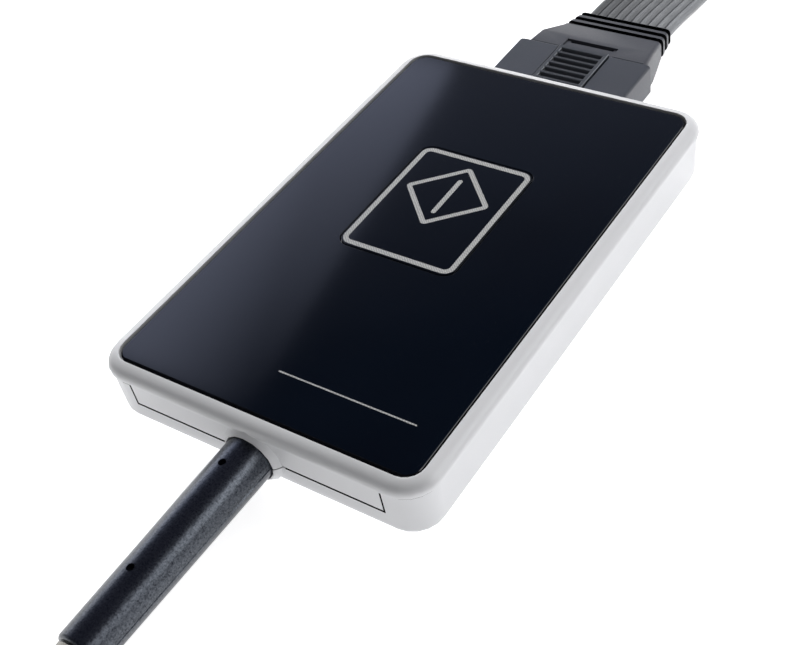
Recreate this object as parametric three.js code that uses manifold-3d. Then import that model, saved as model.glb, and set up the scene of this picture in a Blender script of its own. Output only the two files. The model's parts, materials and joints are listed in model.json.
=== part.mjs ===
// PC-based ECG recorder: a palm-sized recorder with a fixed computer cable and a ten-lead patient cable.
// Millimetres, +Z up, +Y towards the patient socket. The origin lies on the table under the housing's middle.
import * as THREE from "three";
import { mergeVertices } from "three/addons/utils/BufferGeometryUtils.js";
import Module from "manifold-3d";

const wasm = await Module();
wasm.setup();

// Driving dimensions of the housing
const BODY_WIDTH = 65.5;
const BODY_LENGTH = 101.5;
const PANEL_HEIGHT = 11.6; // from the underside to the glossy panel
const FOOT_PROUD = 1.0;
const RIM_PROUD = 0.2;
const CORNER_RADIUS = 6;
const ROLL_WIDTH = 2.75;
const ROLL_HEIGHT = 1.95;
const PARTING_DROP = 2.4; // the parting line below the panel
const APRON_DROP = 7.2; // the aprons' lower edge below the panel
const APRON_WIDTH = 50;
const SETBACK = 0.35; // the side walls behind the roll
const DRAFT = 0.3; // how far the side walls taper in towards the bottom
const BOTTOM_RADIUS = 1.2;
const WALL = 2.3;
const SKIN = 1.0;
const FLOOR = 1.6;
const DECK = 1.2;
const LIP_RISE = 0.5;

// Driving dimensions of the panel, the key and the cables
const PANEL_BORDER = 2.75; // from the housing's widest outline to the panel's edge
const PANEL_WIDTH = BODY_WIDTH - 2 * PANEL_BORDER;
const PANEL_LENGTH = BODY_LENGTH - 2 * PANEL_BORDER;
const PANEL_THICKNESS = 1.0;
const PANEL_CORNER = 3;
const PANEL_CHAMFER = 0.25;
const PANEL_GAP = 0.35;
const KEY_WIDTH = 23.8;
const KEY_LENGTH = 30.2;
const KEY_CORNER = 2.3;
const KEY_Y = 6.9;
const KEY_TRAVEL = 0.3;
const USB_DIAMETER = 4.5;
const LEAD_DIAMETER = 2.0;
const LEAD_PITCH = 1.95;
const LEADS = 10;

// Clearances
const FIT = 0.25;
const GAP = 0.3;
const TAPE = 0.2; // the adhesive film under the panel
const OVERRUN = 1; // how far a cutting tool runs past what it cuts
const SLIT = 0.5; // the least air between two turns of a cord

// Heights and faces that the pieces share
const BODY_BOTTOM = FOOT_PROUD;
const PANEL_TOP = BODY_BOTTOM + PANEL_HEIGHT;
const RIM_TOP = PANEL_TOP + RIM_PROUD;
const PARTING = PANEL_TOP - PARTING_DROP;
const APRON_EDGE = PANEL_TOP - APRON_DROP;
const PANEL_SEAT = PANEL_TOP - PANEL_THICKNESS - TAPE;
const DECK_BOTTOM = PANEL_SEAT - DECK;
const FLOOR_TOP = BODY_BOTTOM + FLOOR;
const LIP_TOP = PARTING + LIP_RISE;
const FACE_Y = BODY_LENGTH / 2 - SETBACK;
const CAVITY_INSET = SETBACK + WALL;

// Counts of facets
const CORNER_STEPS = 5;
const ROLL_STEPS = 6;
const ROUND_SIDES = 16;
const SMALL_SIDES = 10;
const LOOP_STEPS = 24;
const TUBE_SIDES = 6;
const CABLE_SIDES = 8;
const FULL_ROUND_SHARE = 0.96;

// Solids

function oriented(positions, faces) {
  const corner = (i) => new THREE.Vector3().fromArray(positions, 3 * i);
  let volume = 0;
  for (let i = 0; i < faces.length; i += 3) {
    volume += corner(faces[i]).dot(corner(faces[i + 1]).cross(corner(faces[i + 2])));
  }
  const kept = [];
  for (let i = 0; i < faces.length; i += 3) {
    const [a, b, c] = [faces[i], faces[i + 1], faces[i + 2]];
    if (a !== b && b !== c && c !== a) {
      kept.push(...(volume < 0 ? [b, a, c] : [a, b, c]));
    }
  }
  return kept;
}

function solid(geometry) {
  const bare = geometry.clone();
  bare.deleteAttribute("normal");
  bare.deleteAttribute("uv");
  const merged = mergeVertices(bare);
  const vertProperties = new Float32Array(merged.attributes.position.array);
  const triVerts = new Uint32Array(oriented(vertProperties, merged.index.array));
  return new wasm.Manifold(new wasm.Mesh({ numProp: 3, vertProperties, triVerts }));
}

function joined(...pieces) {
  return pieces.reduce((whole, piece) => whole.add(piece));
}

function without(whole, ...tools) {
  return tools.reduce((rest, tool) => rest.subtract(tool), whole);
}

// A closed skin through rings of as many points each, with a flat cap at both ends.
function loft(rings) {
  const count = rings[0].length;
  const last = (rings.length - 1) * count;
  const faces = [];
  for (let ring = 0; ring < last; ring += count) {
    for (let i = 0; i < count; i += 1) {
      const next = (i + 1) % count;
      faces.push(ring + i, ring + next, ring + count + next, ring + i, ring + count + next, ring + count + i);
    }
  }
  for (let i = 1; i < count - 1; i += 1) {
    faces.push(0, i + 1, i, last, last + i, last + i + 1);
  }
  const geometry = new THREE.BufferGeometry();
  const positions = rings.flat().flatMap((point) => point.toArray());
  geometry.setAttribute("position", new THREE.Float32BufferAttribute(positions, 3));
  geometry.setIndex(faces);
  return solid(geometry);
}

function roundedOutline(halfX, halfY, radius, steps = CORNER_STEPS) {
  const r = Math.min(radius, FULL_ROUND_SHARE * halfX, FULL_ROUND_SHARE * halfY);
  const points = [];
  [[1, 1], [-1, 1], [-1, -1], [1, -1]].forEach(([sideX, sideY], quarter) => {
    for (let i = 0; i <= steps; i += 1) {
      const angle = ((quarter + i / steps) * Math.PI) / 2;
      points.push([sideX * (halfX - r) + r * Math.cos(angle), sideY * (halfY - r) + r * Math.sin(angle)]);
    }
  });
  return points;
}

// An upright block with rounded corners in plan, through levels of [inset, z].
function plateStack(width, length, radius, levels, centre = [0, 0], steps = CORNER_STEPS) {
  return loft(
    levels.map(([inset, z]) =>
      roundedOutline(width / 2 - inset, length / 2 - inset, Math.max(radius - inset, GAP), steps).map(
        ([x, y]) => new THREE.Vector3(centre[0] + x, centre[1] + y, z),
      ),
    ),
  );
}

// A block along Y with rounded corners, through sections of {y, width, bottom, top, radius, x}.
function alongY(sections, steps = 3) {
  return loft(
    sections.map(({ y, width, bottom, top, radius, x = 0 }) =>
      roundedOutline(width / 2, (top - bottom) / 2, radius, steps).map(
        ([across, up]) => new THREE.Vector3(x + across, y, (top + bottom) / 2 + up),
      ),
    ),
  );
}

const smooth = (share) => share * share * (3 - 2 * share);
const shareBetween = (value, from, to) => smooth(THREE.MathUtils.clamp((value - from) / (to - from), 0, 1));

function box(x0, x1, y0, y1, z0, z1) {
  const geometry = new THREE.BoxGeometry(x1 - x0, y1 - y0, z1 - z0);
  return solid(geometry.translate((x0 + x1) / 2, (y0 + y1) / 2, (z0 + z1) / 2));
}

// A round piece with its axis along +Z, from z0 to z1.
function post(x, y, z0, z1, radius, sides = ROUND_SIDES, topRadius = radius) {
  const geometry = new THREE.CylinderGeometry(topRadius, radius, z1 - z0, sides);
  return solid(geometry.rotateX(Math.PI / 2).translate(x, y, (z0 + z1) / 2));
}

// A turned piece with its axis along +Y, from points of [radius, y].
function turned(profile, sides = ROUND_SIDES) {
  return new THREE.LatheGeometry(
    profile.map(([radius, y]) => new THREE.Vector2(radius, y)),
    sides,
  );
}

// A section swept along points; sides gives the direction of the section's x at each of them.
function swept(points, sides, outline) {
  return loft(
    points.map((point, i) => {
      const before = points[Math.max(i - 1, 0)];
      const after = points[Math.min(i + 1, points.length - 1)];
      const ahead = after.clone().sub(before).normalize();
      const side = sides[i].clone().addScaledVector(ahead, -sides[i].dot(ahead)).normalize();
      const up = ahead.clone().cross(side);
      return outline.map(([x, y]) => point.clone().addScaledVector(side, x).addScaledVector(up, y));
    }),
  );
}

function roundSection(diameter, sides) {
  return Array.from({ length: sides }, (_, i) => {
    const angle = ((i + 1 / 2) * 2 * Math.PI) / sides;
    return [(diameter / 2) * Math.cos(angle), (diameter / 2) * Math.sin(angle)];
  });
}

function cable(points, diameter, sides, steps) {
  const section = new THREE.Shape(
    roundSection(diameter, sides).map(([x, y]) => new THREE.Vector2(x, y)),
  );
  const path = new THREE.CatmullRomCurve3(points.map((point) => new THREE.Vector3(...point)));
  return solid(new THREE.ExtrudeGeometry(section, { steps, extrudePath: path, bevelEnabled: false }));
}

// Housing

const BOSS_RADIUS = 5.2;
const BOSS_PROUD = 1.0;
const BOSS_FLARE = 0.6;
const SLEEVE_Z = 5.6;
const SLEEVE_RADIUS = 4.4;
const NECK_RADIUS = 2.7;
const SCREW_INSET = 7.25; // from the housing's sides and ends
const SCREW_POST_RADIUS = 3.0;
const SCREW_HEAD_RADIUS = 1.9;
const SCREW_HEAD_HEIGHT = 1.2;
const SCREW_RADIUS = 0.95;
const SCREW_LENGTH = 6.6;
const SCREW_SINK = 0.3;
const POST_JOIN = 5.6;
const BOARD_BOTTOM = 4.8;
const STANDOFF_RADIUS = 1.9;
const STANDOFF_SIDE_INSET = 13.75;
const STANDOFF_END_INSET = 20.75;
const FOOT_RADIUS = 4;
const FOOT_SIDE_INSET = 12.25;
const FOOT_END_INSET = 13.75;
const FOOT_SEAT = 0.7;
const SOCKET_OPEN_WIDTH = 25.6;
const SOCKET_OPEN_BOTTOM = 2.7;
const SOCKET_OPEN_TOP = 8.7;
const KEY_WELL_MARGIN = 3; // the panel's seat goes on this far under the key's edge
const RIB_THICKNESS = 1.0;
const RIB_DEPTH = 1.4;
const RIB_FRONT_INSET = 30.75;
const RIB_BACK_INSET = 29.25;
const ribPlaces = [RIB_FRONT_INSET - BODY_LENGTH / 2, BODY_LENGTH / 2 - RIB_BACK_INSET];

// Four places near the corners, so far in from the housing's sides and ends
function cornerPlaces(sideInset, endInset) {
  const x = BODY_WIDTH / 2 - sideInset;
  const y = BODY_LENGTH / 2 - endInset;
  return [[-x, -y], [x, -y], [-x, y], [x, y]];
}

const screwPlaces = cornerPlaces(SCREW_INSET, SCREW_INSET);
const footPlaces = cornerPlaces(FOOT_SIDE_INSET, FOOT_END_INSET);
const standoffPlaces = cornerPlaces(STANDOFF_SIDE_INSET, STANDOFF_END_INSET);

function housingForm(levels) {
  return plateStack(BODY_WIDTH, BODY_LENGTH, CORNER_RADIUS, levels);
}

// The rolled rim, from the parting line over its widest point to its crest
function rollForm(bottom) {
  const middle = RIM_TOP - ROLL_HEIGHT;
  const from = Math.asin((bottom - middle) / ROLL_HEIGHT);
  const levels = [];
  for (let i = 0; i <= ROLL_STEPS; i += 1) {
    const angle = from + ((Math.PI / 2 - from) * i) / ROLL_STEPS;
    levels.push([ROLL_WIDTH * (1 - Math.cos(angle)), middle + ROLL_HEIGHT * Math.sin(angle)]);
  }
  return housingForm(levels);
}

// The tapered walls with their rounded lower edge
function wallForm(top) {
  const levels = [];
  for (let i = ROLL_STEPS / 2; i >= 0; i -= 1) {
    const angle = (i * Math.PI) / ROLL_STEPS;
    const inset = SETBACK + DRAFT + BOTTOM_RADIUS * (1 - Math.cos(angle));
    levels.push([inset, BODY_BOTTOM + BOTTOM_RADIUS * (1 - Math.sin(angle))]);
  }
  return housingForm([...levels, [SETBACK, top]]);
}

function apronBoxes(clearance) {
  const half = APRON_WIDTH / 2 + clearance;
  const bottom = APRON_EDGE - clearance;
  const inner = FACE_Y - SKIN - clearance;
  return [-1, 1].map((end) =>
    end < 0
      ? box(-half, half, -BODY_LENGTH / 2 - OVERRUN, -inner, bottom, PANEL_TOP)
      : box(-half, half, inner, BODY_LENGTH / 2 + OVERRUN, bottom, PANEL_TOP),
  );
}

// A ring that stands round the sleeve on the front face and flares into it
function cableBoss() {
  const depth = BOSS_PROUD + SKIN;
  const root = BOSS_RADIUS + BOSS_FLARE;
  const ring = turned([
    [0, 0],
    [root, 0],
    [root, SKIN],
    [root - BOSS_FLARE / 2, SKIN + BOSS_PROUD / 3],
    [BOSS_RADIUS, depth - GAP],
    [BOSS_RADIUS - GAP, depth],
    [0, depth],
  ]);
  return solid(ring.rotateX(Math.PI).translate(0, -FACE_Y + SKIN, SLEEVE_Z));
}

// The stepped bore that takes the sleeve's root and its neck
function sleeveBore() {
  const mouth = SLEEVE_RADIUS + FIT;
  const neck = NECK_RADIUS + FIT;
  const seat = BOSS_PROUD + GAP;
  const depth = BOSS_PROUD + WALL + OVERRUN;
  const profile = [[0, -OVERRUN], [mouth, -OVERRUN], [mouth, seat], [neck, seat], [neck, depth], [0, depth]];
  return solid(turned(profile).translate(0, -FACE_Y - BOSS_PROUD, SLEEVE_Z));
}

function socketOpening() {
  const section = { width: SOCKET_OPEN_WIDTH, bottom: SOCKET_OPEN_BOTTOM, top: SOCKET_OPEN_TOP, radius: BOSS_PROUD };
  return alongY([
    { ...section, y: FACE_Y - WALL - OVERRUN },
    { ...section, y: BODY_LENGTH / 2 + OVERRUN },
  ]);
}

function makeUpperShell() {
  const bottom = PARTING + FIT / 2;
  const wall = wallForm(RIM_TOP - ROLL_HEIGHT);
  const aprons = apronBoxes(0).map((region) => wall.intersect(region));
  const bossTop = cableBoss().intersect(
    box(-BODY_WIDTH, BODY_WIDTH, -BODY_LENGTH, 0, APRON_EDGE, PANEL_TOP),
  );
  const lipSpace = without(
    housingForm([[SETBACK + SKIN, BODY_BOTTOM], [SETBACK + SKIN, LIP_TOP + FIT]]),
    housingForm([[CAVITY_INSET + FIT, DECK_BOTTOM], [CAVITY_INSET + FIT, RIM_TOP]]),
  );
  const recess = plateStack(PANEL_WIDTH + 2 * PANEL_GAP, PANEL_LENGTH + 2 * PANEL_GAP, PANEL_CORNER + PANEL_GAP, [
    [0, PANEL_SEAT],
    [0, RIM_TOP + OVERRUN],
  ]);
  const keyWell = plateStack(
    KEY_WIDTH - 2 * KEY_WELL_MARGIN,
    KEY_LENGTH - 2 * KEY_WELL_MARGIN,
    KEY_CORNER,
    [[0, DECK_BOTTOM - OVERRUN], [0, PANEL_SEAT + OVERRUN]],
    [0, KEY_Y],
  );
  const posts = screwPlaces.map(([x, y]) =>
    without(
      post(x, y, POST_JOIN + FIT, PANEL_SEAT, SCREW_POST_RADIUS),
      post(x, y, POST_JOIN, BODY_BOTTOM + SCREW_SINK + SCREW_LENGTH + GAP, SCREW_RADIUS + FIT, SMALL_SIDES),
    ),
  );
  const ribHalf = BODY_WIDTH / 2 - CAVITY_INSET - FIT - GAP;
  const ribs = ribPlaces.map((y) =>
    box(-ribHalf, ribHalf, y - RIB_THICKNESS / 2, y + RIB_THICKNESS / 2, DECK_BOTTOM - RIB_DEPTH, PANEL_SEAT),
  );
  const shell = without(joined(rollForm(bottom), ...aprons), lipSpace);
  const open = without(joined(shell, bossTop), sleeveBore(), socketOpening(), recess, keyWell);
  return joined(open, ...posts, ...ribs);
}

function makeLowerShell() {
  const top = PARTING - FIT / 2;
  const outside = joined(
    wallForm(top),
    cableBoss().intersect(
      box(-BODY_WIDTH, BODY_WIDTH, -BODY_LENGTH, 0, SLEEVE_Z - BOSS_RADIUS, APRON_EDGE - FIT),
    ),
  );
  const lip = housingForm([[SETBACK + SKIN + FIT, FLOOR_TOP], [SETBACK + SKIN + FIT, LIP_TOP]]);
  const cavity = housingForm([[CAVITY_INSET, FLOOR_TOP], [CAVITY_INSET, LIP_TOP + OVERRUN]]);
  const screwPosts = screwPlaces.map(([x, y]) => post(x, y, BODY_BOTTOM, POST_JOIN, SCREW_POST_RADIUS));
  const standoffs = standoffPlaces.map(([x, y]) =>
    post(x, y, BODY_BOTTOM + FLOOR / 2, BOARD_BOTTOM - FIT, STANDOFF_RADIUS),
  );
  const screwHoles = screwPlaces.flatMap(([x, y]) => [
    post(x, y, 0, POST_JOIN + OVERRUN, SCREW_RADIUS + FIT, SMALL_SIDES),
    post(x, y, 0, BODY_BOTTOM + SCREW_SINK + SCREW_HEAD_HEIGHT + FIT, SCREW_HEAD_RADIUS + FIT),
  ]);
  const footSeats = footPlaces.map(([x, y]) => post(x, y, 0, BODY_BOTTOM + FOOT_SEAT, FOOT_RADIUS + FIT));
  const walls = joined(without(outside, ...apronBoxes(FIT)), lip);
  const tray = joined(without(walls, cavity), ...screwPosts, ...standoffs);
  return without(tray, ...screwHoles, ...footSeats, sleeveBore(), socketOpening());
}

function makeScrew() {
  const head = [[0, 0], [SCREW_HEAD_RADIUS, 0], [SCREW_HEAD_RADIUS, SCREW_HEAD_HEIGHT]];
  const shank = [
    [SCREW_RADIUS, SCREW_HEAD_HEIGHT],
    [SCREW_RADIUS, SCREW_LENGTH - SCREW_RADIUS],
    [SCREW_RADIUS / 2, SCREW_LENGTH],
    [0, SCREW_LENGTH],
  ];
  const recess = new THREE.CylinderGeometry(
    SCREW_RADIUS,
    SCREW_RADIUS,
    SCREW_HEAD_HEIGHT,
    TUBE_SIDES,
  );
  return without(solid(turned([...head, ...shank], SMALL_SIDES)), solid(recess)).rotate([90, 0, 0]);
}

function makeFoot() {
  const height = FOOT_PROUD + FOOT_SEAT - FIT;
  return plateStack(2 * FOOT_RADIUS, 2 * FOOT_RADIUS, FOOT_RADIUS, [[GAP, 0], [0, GAP], [0, height]]);
}

// Panel and start key

const KEY_STEM_RADIUS = 2.2;
const SWITCH_WIDTH = 6;
const SWITCH_HEIGHT = 3.1;

function makePanel() {
  const plate = plateStack(PANEL_WIDTH, PANEL_LENGTH, PANEL_CORNER, [
    [0, PANEL_SEAT + TAPE],
    [0, PANEL_TOP - PANEL_CHAMFER],
    [PANEL_CHAMFER, PANEL_TOP],
  ]);
  const window = plateStack(
    KEY_WIDTH + 2 * FIT,
    KEY_LENGTH + 2 * FIT,
    KEY_CORNER + FIT,
    [[0, PANEL_SEAT], [0, PANEL_TOP + OVERRUN]],
    [0, KEY_Y],
  );
  return without(plate, window);
}

// The key's plate lies flush in the panel, and its stem stands over the switch.
function makeStartKey() {
  const bottom = PANEL_SEAT + KEY_TRAVEL + FIT;
  const plate = plateStack(KEY_WIDTH, KEY_LENGTH, KEY_CORNER, [[0, bottom], [0, PANEL_TOP]], [0, KEY_Y]);
  const stem = post(0, KEY_Y, BOARD_TOP + SWITCH_HEIGHT + KEY_TRAVEL + FIT, PANEL_TOP - FIT, KEY_STEM_RADIUS);
  return joined(plate, stem);
}

function makeKeySwitch() {
  const half = SWITCH_WIDTH / 2;
  const top = BOARD_TOP + SWITCH_HEIGHT;
  return joined(
    box(-half, half, KEY_Y - half, KEY_Y + half, BOARD_TOP + FIT, top - RIM_PROUD),
    post(0, KEY_Y, BOARD_TOP + FIT, top, SWITCH_WIDTH / 4),
  );
}

// Circuit board and what it carries

const BOARD_THICKNESS = 1.2;
const BOARD_SIDE_INSET = 3.75;
const BOARD_FRONT_INSET = 12.25;
const BOARD_BACK_INSET = 11.35;
const BOARD_WIDTH = BODY_WIDTH - 2 * BOARD_SIDE_INSET;
const BOARD_FRONT = BOARD_FRONT_INSET - BODY_LENGTH / 2;
const BOARD_BACK = BODY_LENGTH / 2 - BOARD_BACK_INSET;
const BOARD_NOTCH = 8;
const BOARD_TOP = BOARD_BOTTOM + BOARD_THICKNESS;

// Each piece keeps its inset from the board's side and from its front or back end.
const boardPieces = {
  processor_chip: { side: -1, inset: 14, front: 26.5, width: 10, length: 10, height: 1.2 },
  converter_chip: { side: 1, inset: 13, front: 28.5, width: 7, length: 9, height: 1.4 },
  isolation_transformer: { side: 1, inset: 12.5, front: 10.5, width: 12, length: 10, height: 3.6 },
  clock_crystal: { side: -1, inset: 12, front: 13.5, width: 3.4, length: 8, height: 1.5 },
  input_filter_can: { side: 0, inset: 0, back: 9.9, width: 30, length: 15, height: 2.2 },
};

function makeBoard() {
  const middle = (BOARD_FRONT + BOARD_BACK) / 2;
  const plate = plateStack(
    BOARD_WIDTH,
    BOARD_BACK - BOARD_FRONT,
    OVERRUN,
    [[0, BOARD_BOTTOM], [0, BOARD_TOP]],
    [0, middle],
  );
  const notches = screwPlaces.map(([x, y]) => post(x, y, BODY_BOTTOM, PANEL_TOP, BOARD_NOTCH));
  return without(plate, ...notches);
}

function makeBoardPiece({ side, inset, front, back, width, length, height }) {
  const x = side * (BOARD_WIDTH / 2 - inset);
  const y = back === undefined ? BOARD_FRONT + front : BOARD_BACK - back;
  return plateStack(width, length, RIM_PROUD, [[0, BOARD_TOP + FIT], [0, BOARD_TOP + height]], [x, y], 1);
}

const CAPACITOR_RADIUS = 2.4;
const CAPACITOR_HEIGHT = 3.4;
const CAPACITOR_INSET = 14;
const CAPACITOR_OFFSET = 1.1; // behind the key's middle
const CAPACITOR_X = CAPACITOR_INSET - BOARD_WIDTH / 2;
const CAPACITOR_Y = KEY_Y + CAPACITOR_OFFSET;

function makeCapacitor() {
  return post(CAPACITOR_X, CAPACITOR_Y, BOARD_TOP + FIT, BOARD_TOP + CAPACITOR_HEIGHT, CAPACITOR_RADIUS);
}

// Computer cable: sleeve, inner end, clamp and header

const SLEEVE_LENGTH = 41.3;
const SLEEVE_END_RADIUS = 3.75;
const SLEEVE_DROP = 1.15;
const SLEEVE_DRIFT = 0.8;
const SLEEVE_ROUND = 0.7;
const FLANGE_WIDTH = 8.6;
const FLANGE_TOP = 9.6;
const FLANGE_THICKNESS = 1.4;
const COLLAR_RADIUS = 3.45;
const COLLAR_LENGTH = 5.6;
const COLLAR_ROUND = 0.8;
const HEADER_WIDTH = 9;
const HEADER_LENGTH = 5;
const HEADER_HEIGHT = 3.4;
const HEADER_INSET = 4.5; // from the board's front end
const HEADER_Y = BOARD_FRONT + HEADER_INSET;
const INNER_CABLE_DIAMETER = 2.4;
const CLAMP_WIDTH = 12;
const CLAMP_LENGTH = 2.6;
const CLAMP_TOP = 1.4;
const CLAMP_SPACE = 2.1;

const sleeveRoot = new THREE.Vector3(0, -FACE_Y - BOSS_PROUD, SLEEVE_Z);
const sleeveWay = new THREE.Vector3(-SLEEVE_DRIFT, -SLEEVE_LENGTH, -SLEEVE_DROP).normalize();
const alongSleeve = (distance) => sleeveRoot.clone().addScaledVector(sleeveWay, distance);

function onSleeve(geometry) {
  const turn = new THREE.Quaternion().setFromUnitVectors(new THREE.Vector3(0, 1, 0), sleeveWay);
  return solid(geometry.applyQuaternion(turn).translate(...sleeveRoot.toArray()));
}

// The moulded sleeve tapers to its rounded end, and its neck and flange hold it in the front wall.
function makeSleeve() {
  const seat = -BOSS_PROUD;
  const inside = -BOSS_PROUD - WALL - FIT;
  const end = SLEEVE_LENGTH;
  const flange = {
    width: FLANGE_WIDTH,
    bottom: FLOOR_TOP + GAP,
    top: FLANGE_TOP,
    radius: BOSS_PROUD,
  };
  const sleeve = onSleeve(
    turned([
      [0, inside - FLANGE_THICKNESS / 2],
      [NECK_RADIUS, inside - FLANGE_THICKNESS / 2],
      [NECK_RADIUS, seat],
      [SLEEVE_RADIUS, seat],
      [SLEEVE_RADIUS, 0],
      [SLEEVE_END_RADIUS, end - SLEEVE_ROUND],
      [SLEEVE_END_RADIUS - SLEEVE_ROUND / 2, end - SLEEVE_ROUND / 4],
      [SLEEVE_END_RADIUS - SLEEVE_ROUND, end],
      [0, end],
    ]),
  );
  const flangeY = -FACE_Y + WALL + FIT;
  return joined(sleeve, alongY([{ ...flange, y: flangeY }, { ...flange, y: flangeY + FLANGE_THICKNESS }]));
}

function makeCollar() {
  const start = SLEEVE_LENGTH + GAP;
  return onSleeve(
    turned([
      [0, start],
      [COLLAR_RADIUS, start],
      [COLLAR_RADIUS, start + COLLAR_LENGTH - COLLAR_ROUND],
      [COLLAR_RADIUS - COLLAR_ROUND, start + COLLAR_LENGTH],
      [0, start + COLLAR_LENGTH],
    ]),
  );
}

const INNER_START_Y = -FACE_Y + WALL + FIT + FLANGE_THICKNESS + GAP;

function makeInnerCable() {
  const end = HEADER_Y - HEADER_LENGTH / 2 - GAP;
  const rise = BOARD_TOP + HEADER_HEIGHT / 2 - SLEEVE_Z;
  const points = [0, 1 / 4, 1 / 2, 3 / 4, 1].map((share) => {
    return [0, INNER_START_Y + share * (end - INNER_START_Y), SLEEVE_Z + smooth(share) * rise];
  });
  return cable(points, INNER_CABLE_DIAMETER, TUBE_SIDES, points.length);
}

// A saddle over the inner cable, standing on the floor between the front wall and the board
function makeClamp() {
  const front = INNER_START_Y + GAP;
  const back = front + CLAMP_LENGTH;
  const half = CLAMP_WIDTH / 2;
  const top = SLEEVE_Z + CLAMP_SPACE;
  const block = box(-half, half, front, back, FLOOR_TOP + FIT, top + CLAMP_TOP);
  return without(block, box(-CLAMP_SPACE, CLAMP_SPACE, front - OVERRUN, back + OVERRUN, 0, top));
}

function makeHeader() {
  const half = HEADER_WIDTH / 2;
  const front = HEADER_Y - HEADER_LENGTH / 2;
  return box(-half, half, front, front + HEADER_LENGTH, BOARD_TOP + FIT, BOARD_TOP + HEADER_HEIGHT);
}

// Computer cable: the coil that lies past the sleeve, and its plug

const TIE_THICKNESS = 1.0;
const TIE_WIDTH = 5;
const TIE_CORNER = 1.2;
const TIE_SLACK = 0.8; // more room inside, where the turns curve in under the strap
const COIL_X = 0;
const COIL_AWAY = 105.25; // from the housing's front end to the coil's centre
const COIL_Y = -BODY_LENGTH / 2 - COIL_AWAY;
const COIL_RADIUS = 32; // of the outermost turn's centreline
const COIL_LAYERS = 4;
const LAYER_TURNS = 2.5; // turns in each layer
const COIL_ENTRY_ANGLE = 60;
const COIL_BASE = GAP / 3 + TIE_THICKNESS + GAP;
const USB_PITCH = USB_DIAMETER + SLIT;
const COIL_TOP = COIL_BASE + COIL_LAYERS * USB_PITCH - SLIT;
const USB_TIE_ANGLE = 125;
const degrees = (angle) => (angle * Math.PI) / 180;
const way = (angle) => new THREE.Vector3(Math.cos(degrees(angle)), Math.sin(degrees(angle)), 0);

// The centre of the cable after so many turns: in and out again in layers, each climb in a half turn
function coilPoint(turn) {
  const layer = Math.min(Math.floor(turn / LAYER_TURNS), COIL_LAYERS - 1);
  const into = turn - layer * LAYER_TURNS;
  const inward = layer % 2 === 0 ? into : LAYER_TURNS - into;
  const seam = Math.round(turn / LAYER_TURNS);
  const climbing = seam > 0 && seam < COIL_LAYERS;
  const past = THREE.MathUtils.clamp(2 * (turn - seam * LAYER_TURNS) + 1 / 2, 0, 1);
  const level = climbing ? seam - 1 + smooth(past) : layer;
  const radius = COIL_RADIUS - inward * USB_PITCH;
  const place = way(COIL_ENTRY_ANGLE - 360 * turn).multiplyScalar(radius);
  return place.add(new THREE.Vector3(COIL_X, COIL_Y, COIL_BASE + USB_DIAMETER / 2 + level * USB_PITCH));
}

function coilLine() {
  const turns = COIL_LAYERS * LAYER_TURNS;
  const points = [];
  for (let i = 0; i <= turns * LOOP_STEPS; i += 1) {
    points.push(coilPoint(i / LOOP_STEPS));
  }
  const heading = way(COIL_ENTRY_ANGLE - 90).multiplyScalar(USB_DIAMETER);
  return [points[0].clone().sub(heading), ...points, points[points.length - 1].clone().add(heading)];
}

function leastGap(points, diameter, skip) {
  let least = Infinity;
  for (let i = 0; i < points.length; i += 1) {
    for (let j = i + skip; j < points.length; j += 1) {
      least = Math.min(least, points[i].distanceTo(points[j]));
    }
  }
  return least - diameter;
}

function makeCoil() {
  const points = coilLine();
  const centre = new THREE.Vector3(COIL_X, COIL_Y, 0);
  const sides = points.map((point) => point.clone().sub(centre).setZ(0).normalize());
  console.log(`usb coil: least gap ${leastGap(points, USB_DIAMETER, LOOP_STEPS / 2).toFixed(2)} mm`);
  return swept(points, sides, roundSection(USB_DIAMETER, TUBE_SIDES));
}

const STRETCH_BEND = 20;
const STRETCH_STEPS = 6;

function arcPoints(centre, radius, from, to, steps) {
  return Array.from({ length: steps + 1 }, (_, i) => {
    const place = way(from + ((to - from) * i) / steps).multiplyScalar(radius);
    return [centre[0] + place.x, centre[1] + place.y];
  });
}

// From the collar straight on, then round one bend to the coil
function usbStretchPoints() {
  const start = alongSleeve(SLEEVE_LENGTH + 2 * GAP + COLLAR_LENGTH);
  const heading = way(COIL_ENTRY_ANGLE - 90);
  const end = coilLine()[0].addScaledVector(heading, -GAP);
  const turn = COIL_ENTRY_ANGLE;
  const shift = STRETCH_BEND * (1 - Math.cos(degrees(turn)));
  const straight = (end.x - start.x - shift) / heading.x;
  const bendY = end.y - straight * heading.y + STRETCH_BEND * Math.sin(degrees(turn));
  const bend = arcPoints([start.x + STRETCH_BEND, bendY], STRETCH_BEND, 180, 180 + turn, STRETCH_STEPS);
  const flat = [[start.x, start.y], [start.x, (start.y + bendY) / 2], ...bend, [end.x, end.y]];
  return flat.map(([x, y]) => {
    const share = smooth((start.y - y) / (start.y - end.y));
    return [x, y, start.z + share * (end.z - start.z)];
  });
}

const TAIL_LEAVES_AT = 15; // the angle at which the tail turns in over the coil
const TAIL_BEND = 18.5;
const TAIL_FIRST_ANGLE = 30;
const TAIL_RISE_SHARE = 0.75; // of its points, up to the plug's height

const USB_BOOT_LENGTH = 8;
const USB_BOOT_RADIUS = 3.2;
const USB_BODY_LENGTH = 23;
const USB_BODY_WIDTH = 15.6;
const USB_BODY_HEIGHT = 8;
const USB_BODY_CORNER = 2.2;
const USB_SHELL_LENGTH = 12;
const USB_SHELL_WIDTH = 12;
const USB_SHELL_HEIGHT = 4.5;
const USB_SHELL_WALL = 0.4;
const USB_TONGUE_HEIGHT = 1.8;
const USB_TONGUE_SETBACK = 1.0;
const USB_PLUG_Z = COIL_TOP + GAP + USB_BODY_HEIGHT / 2;

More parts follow.
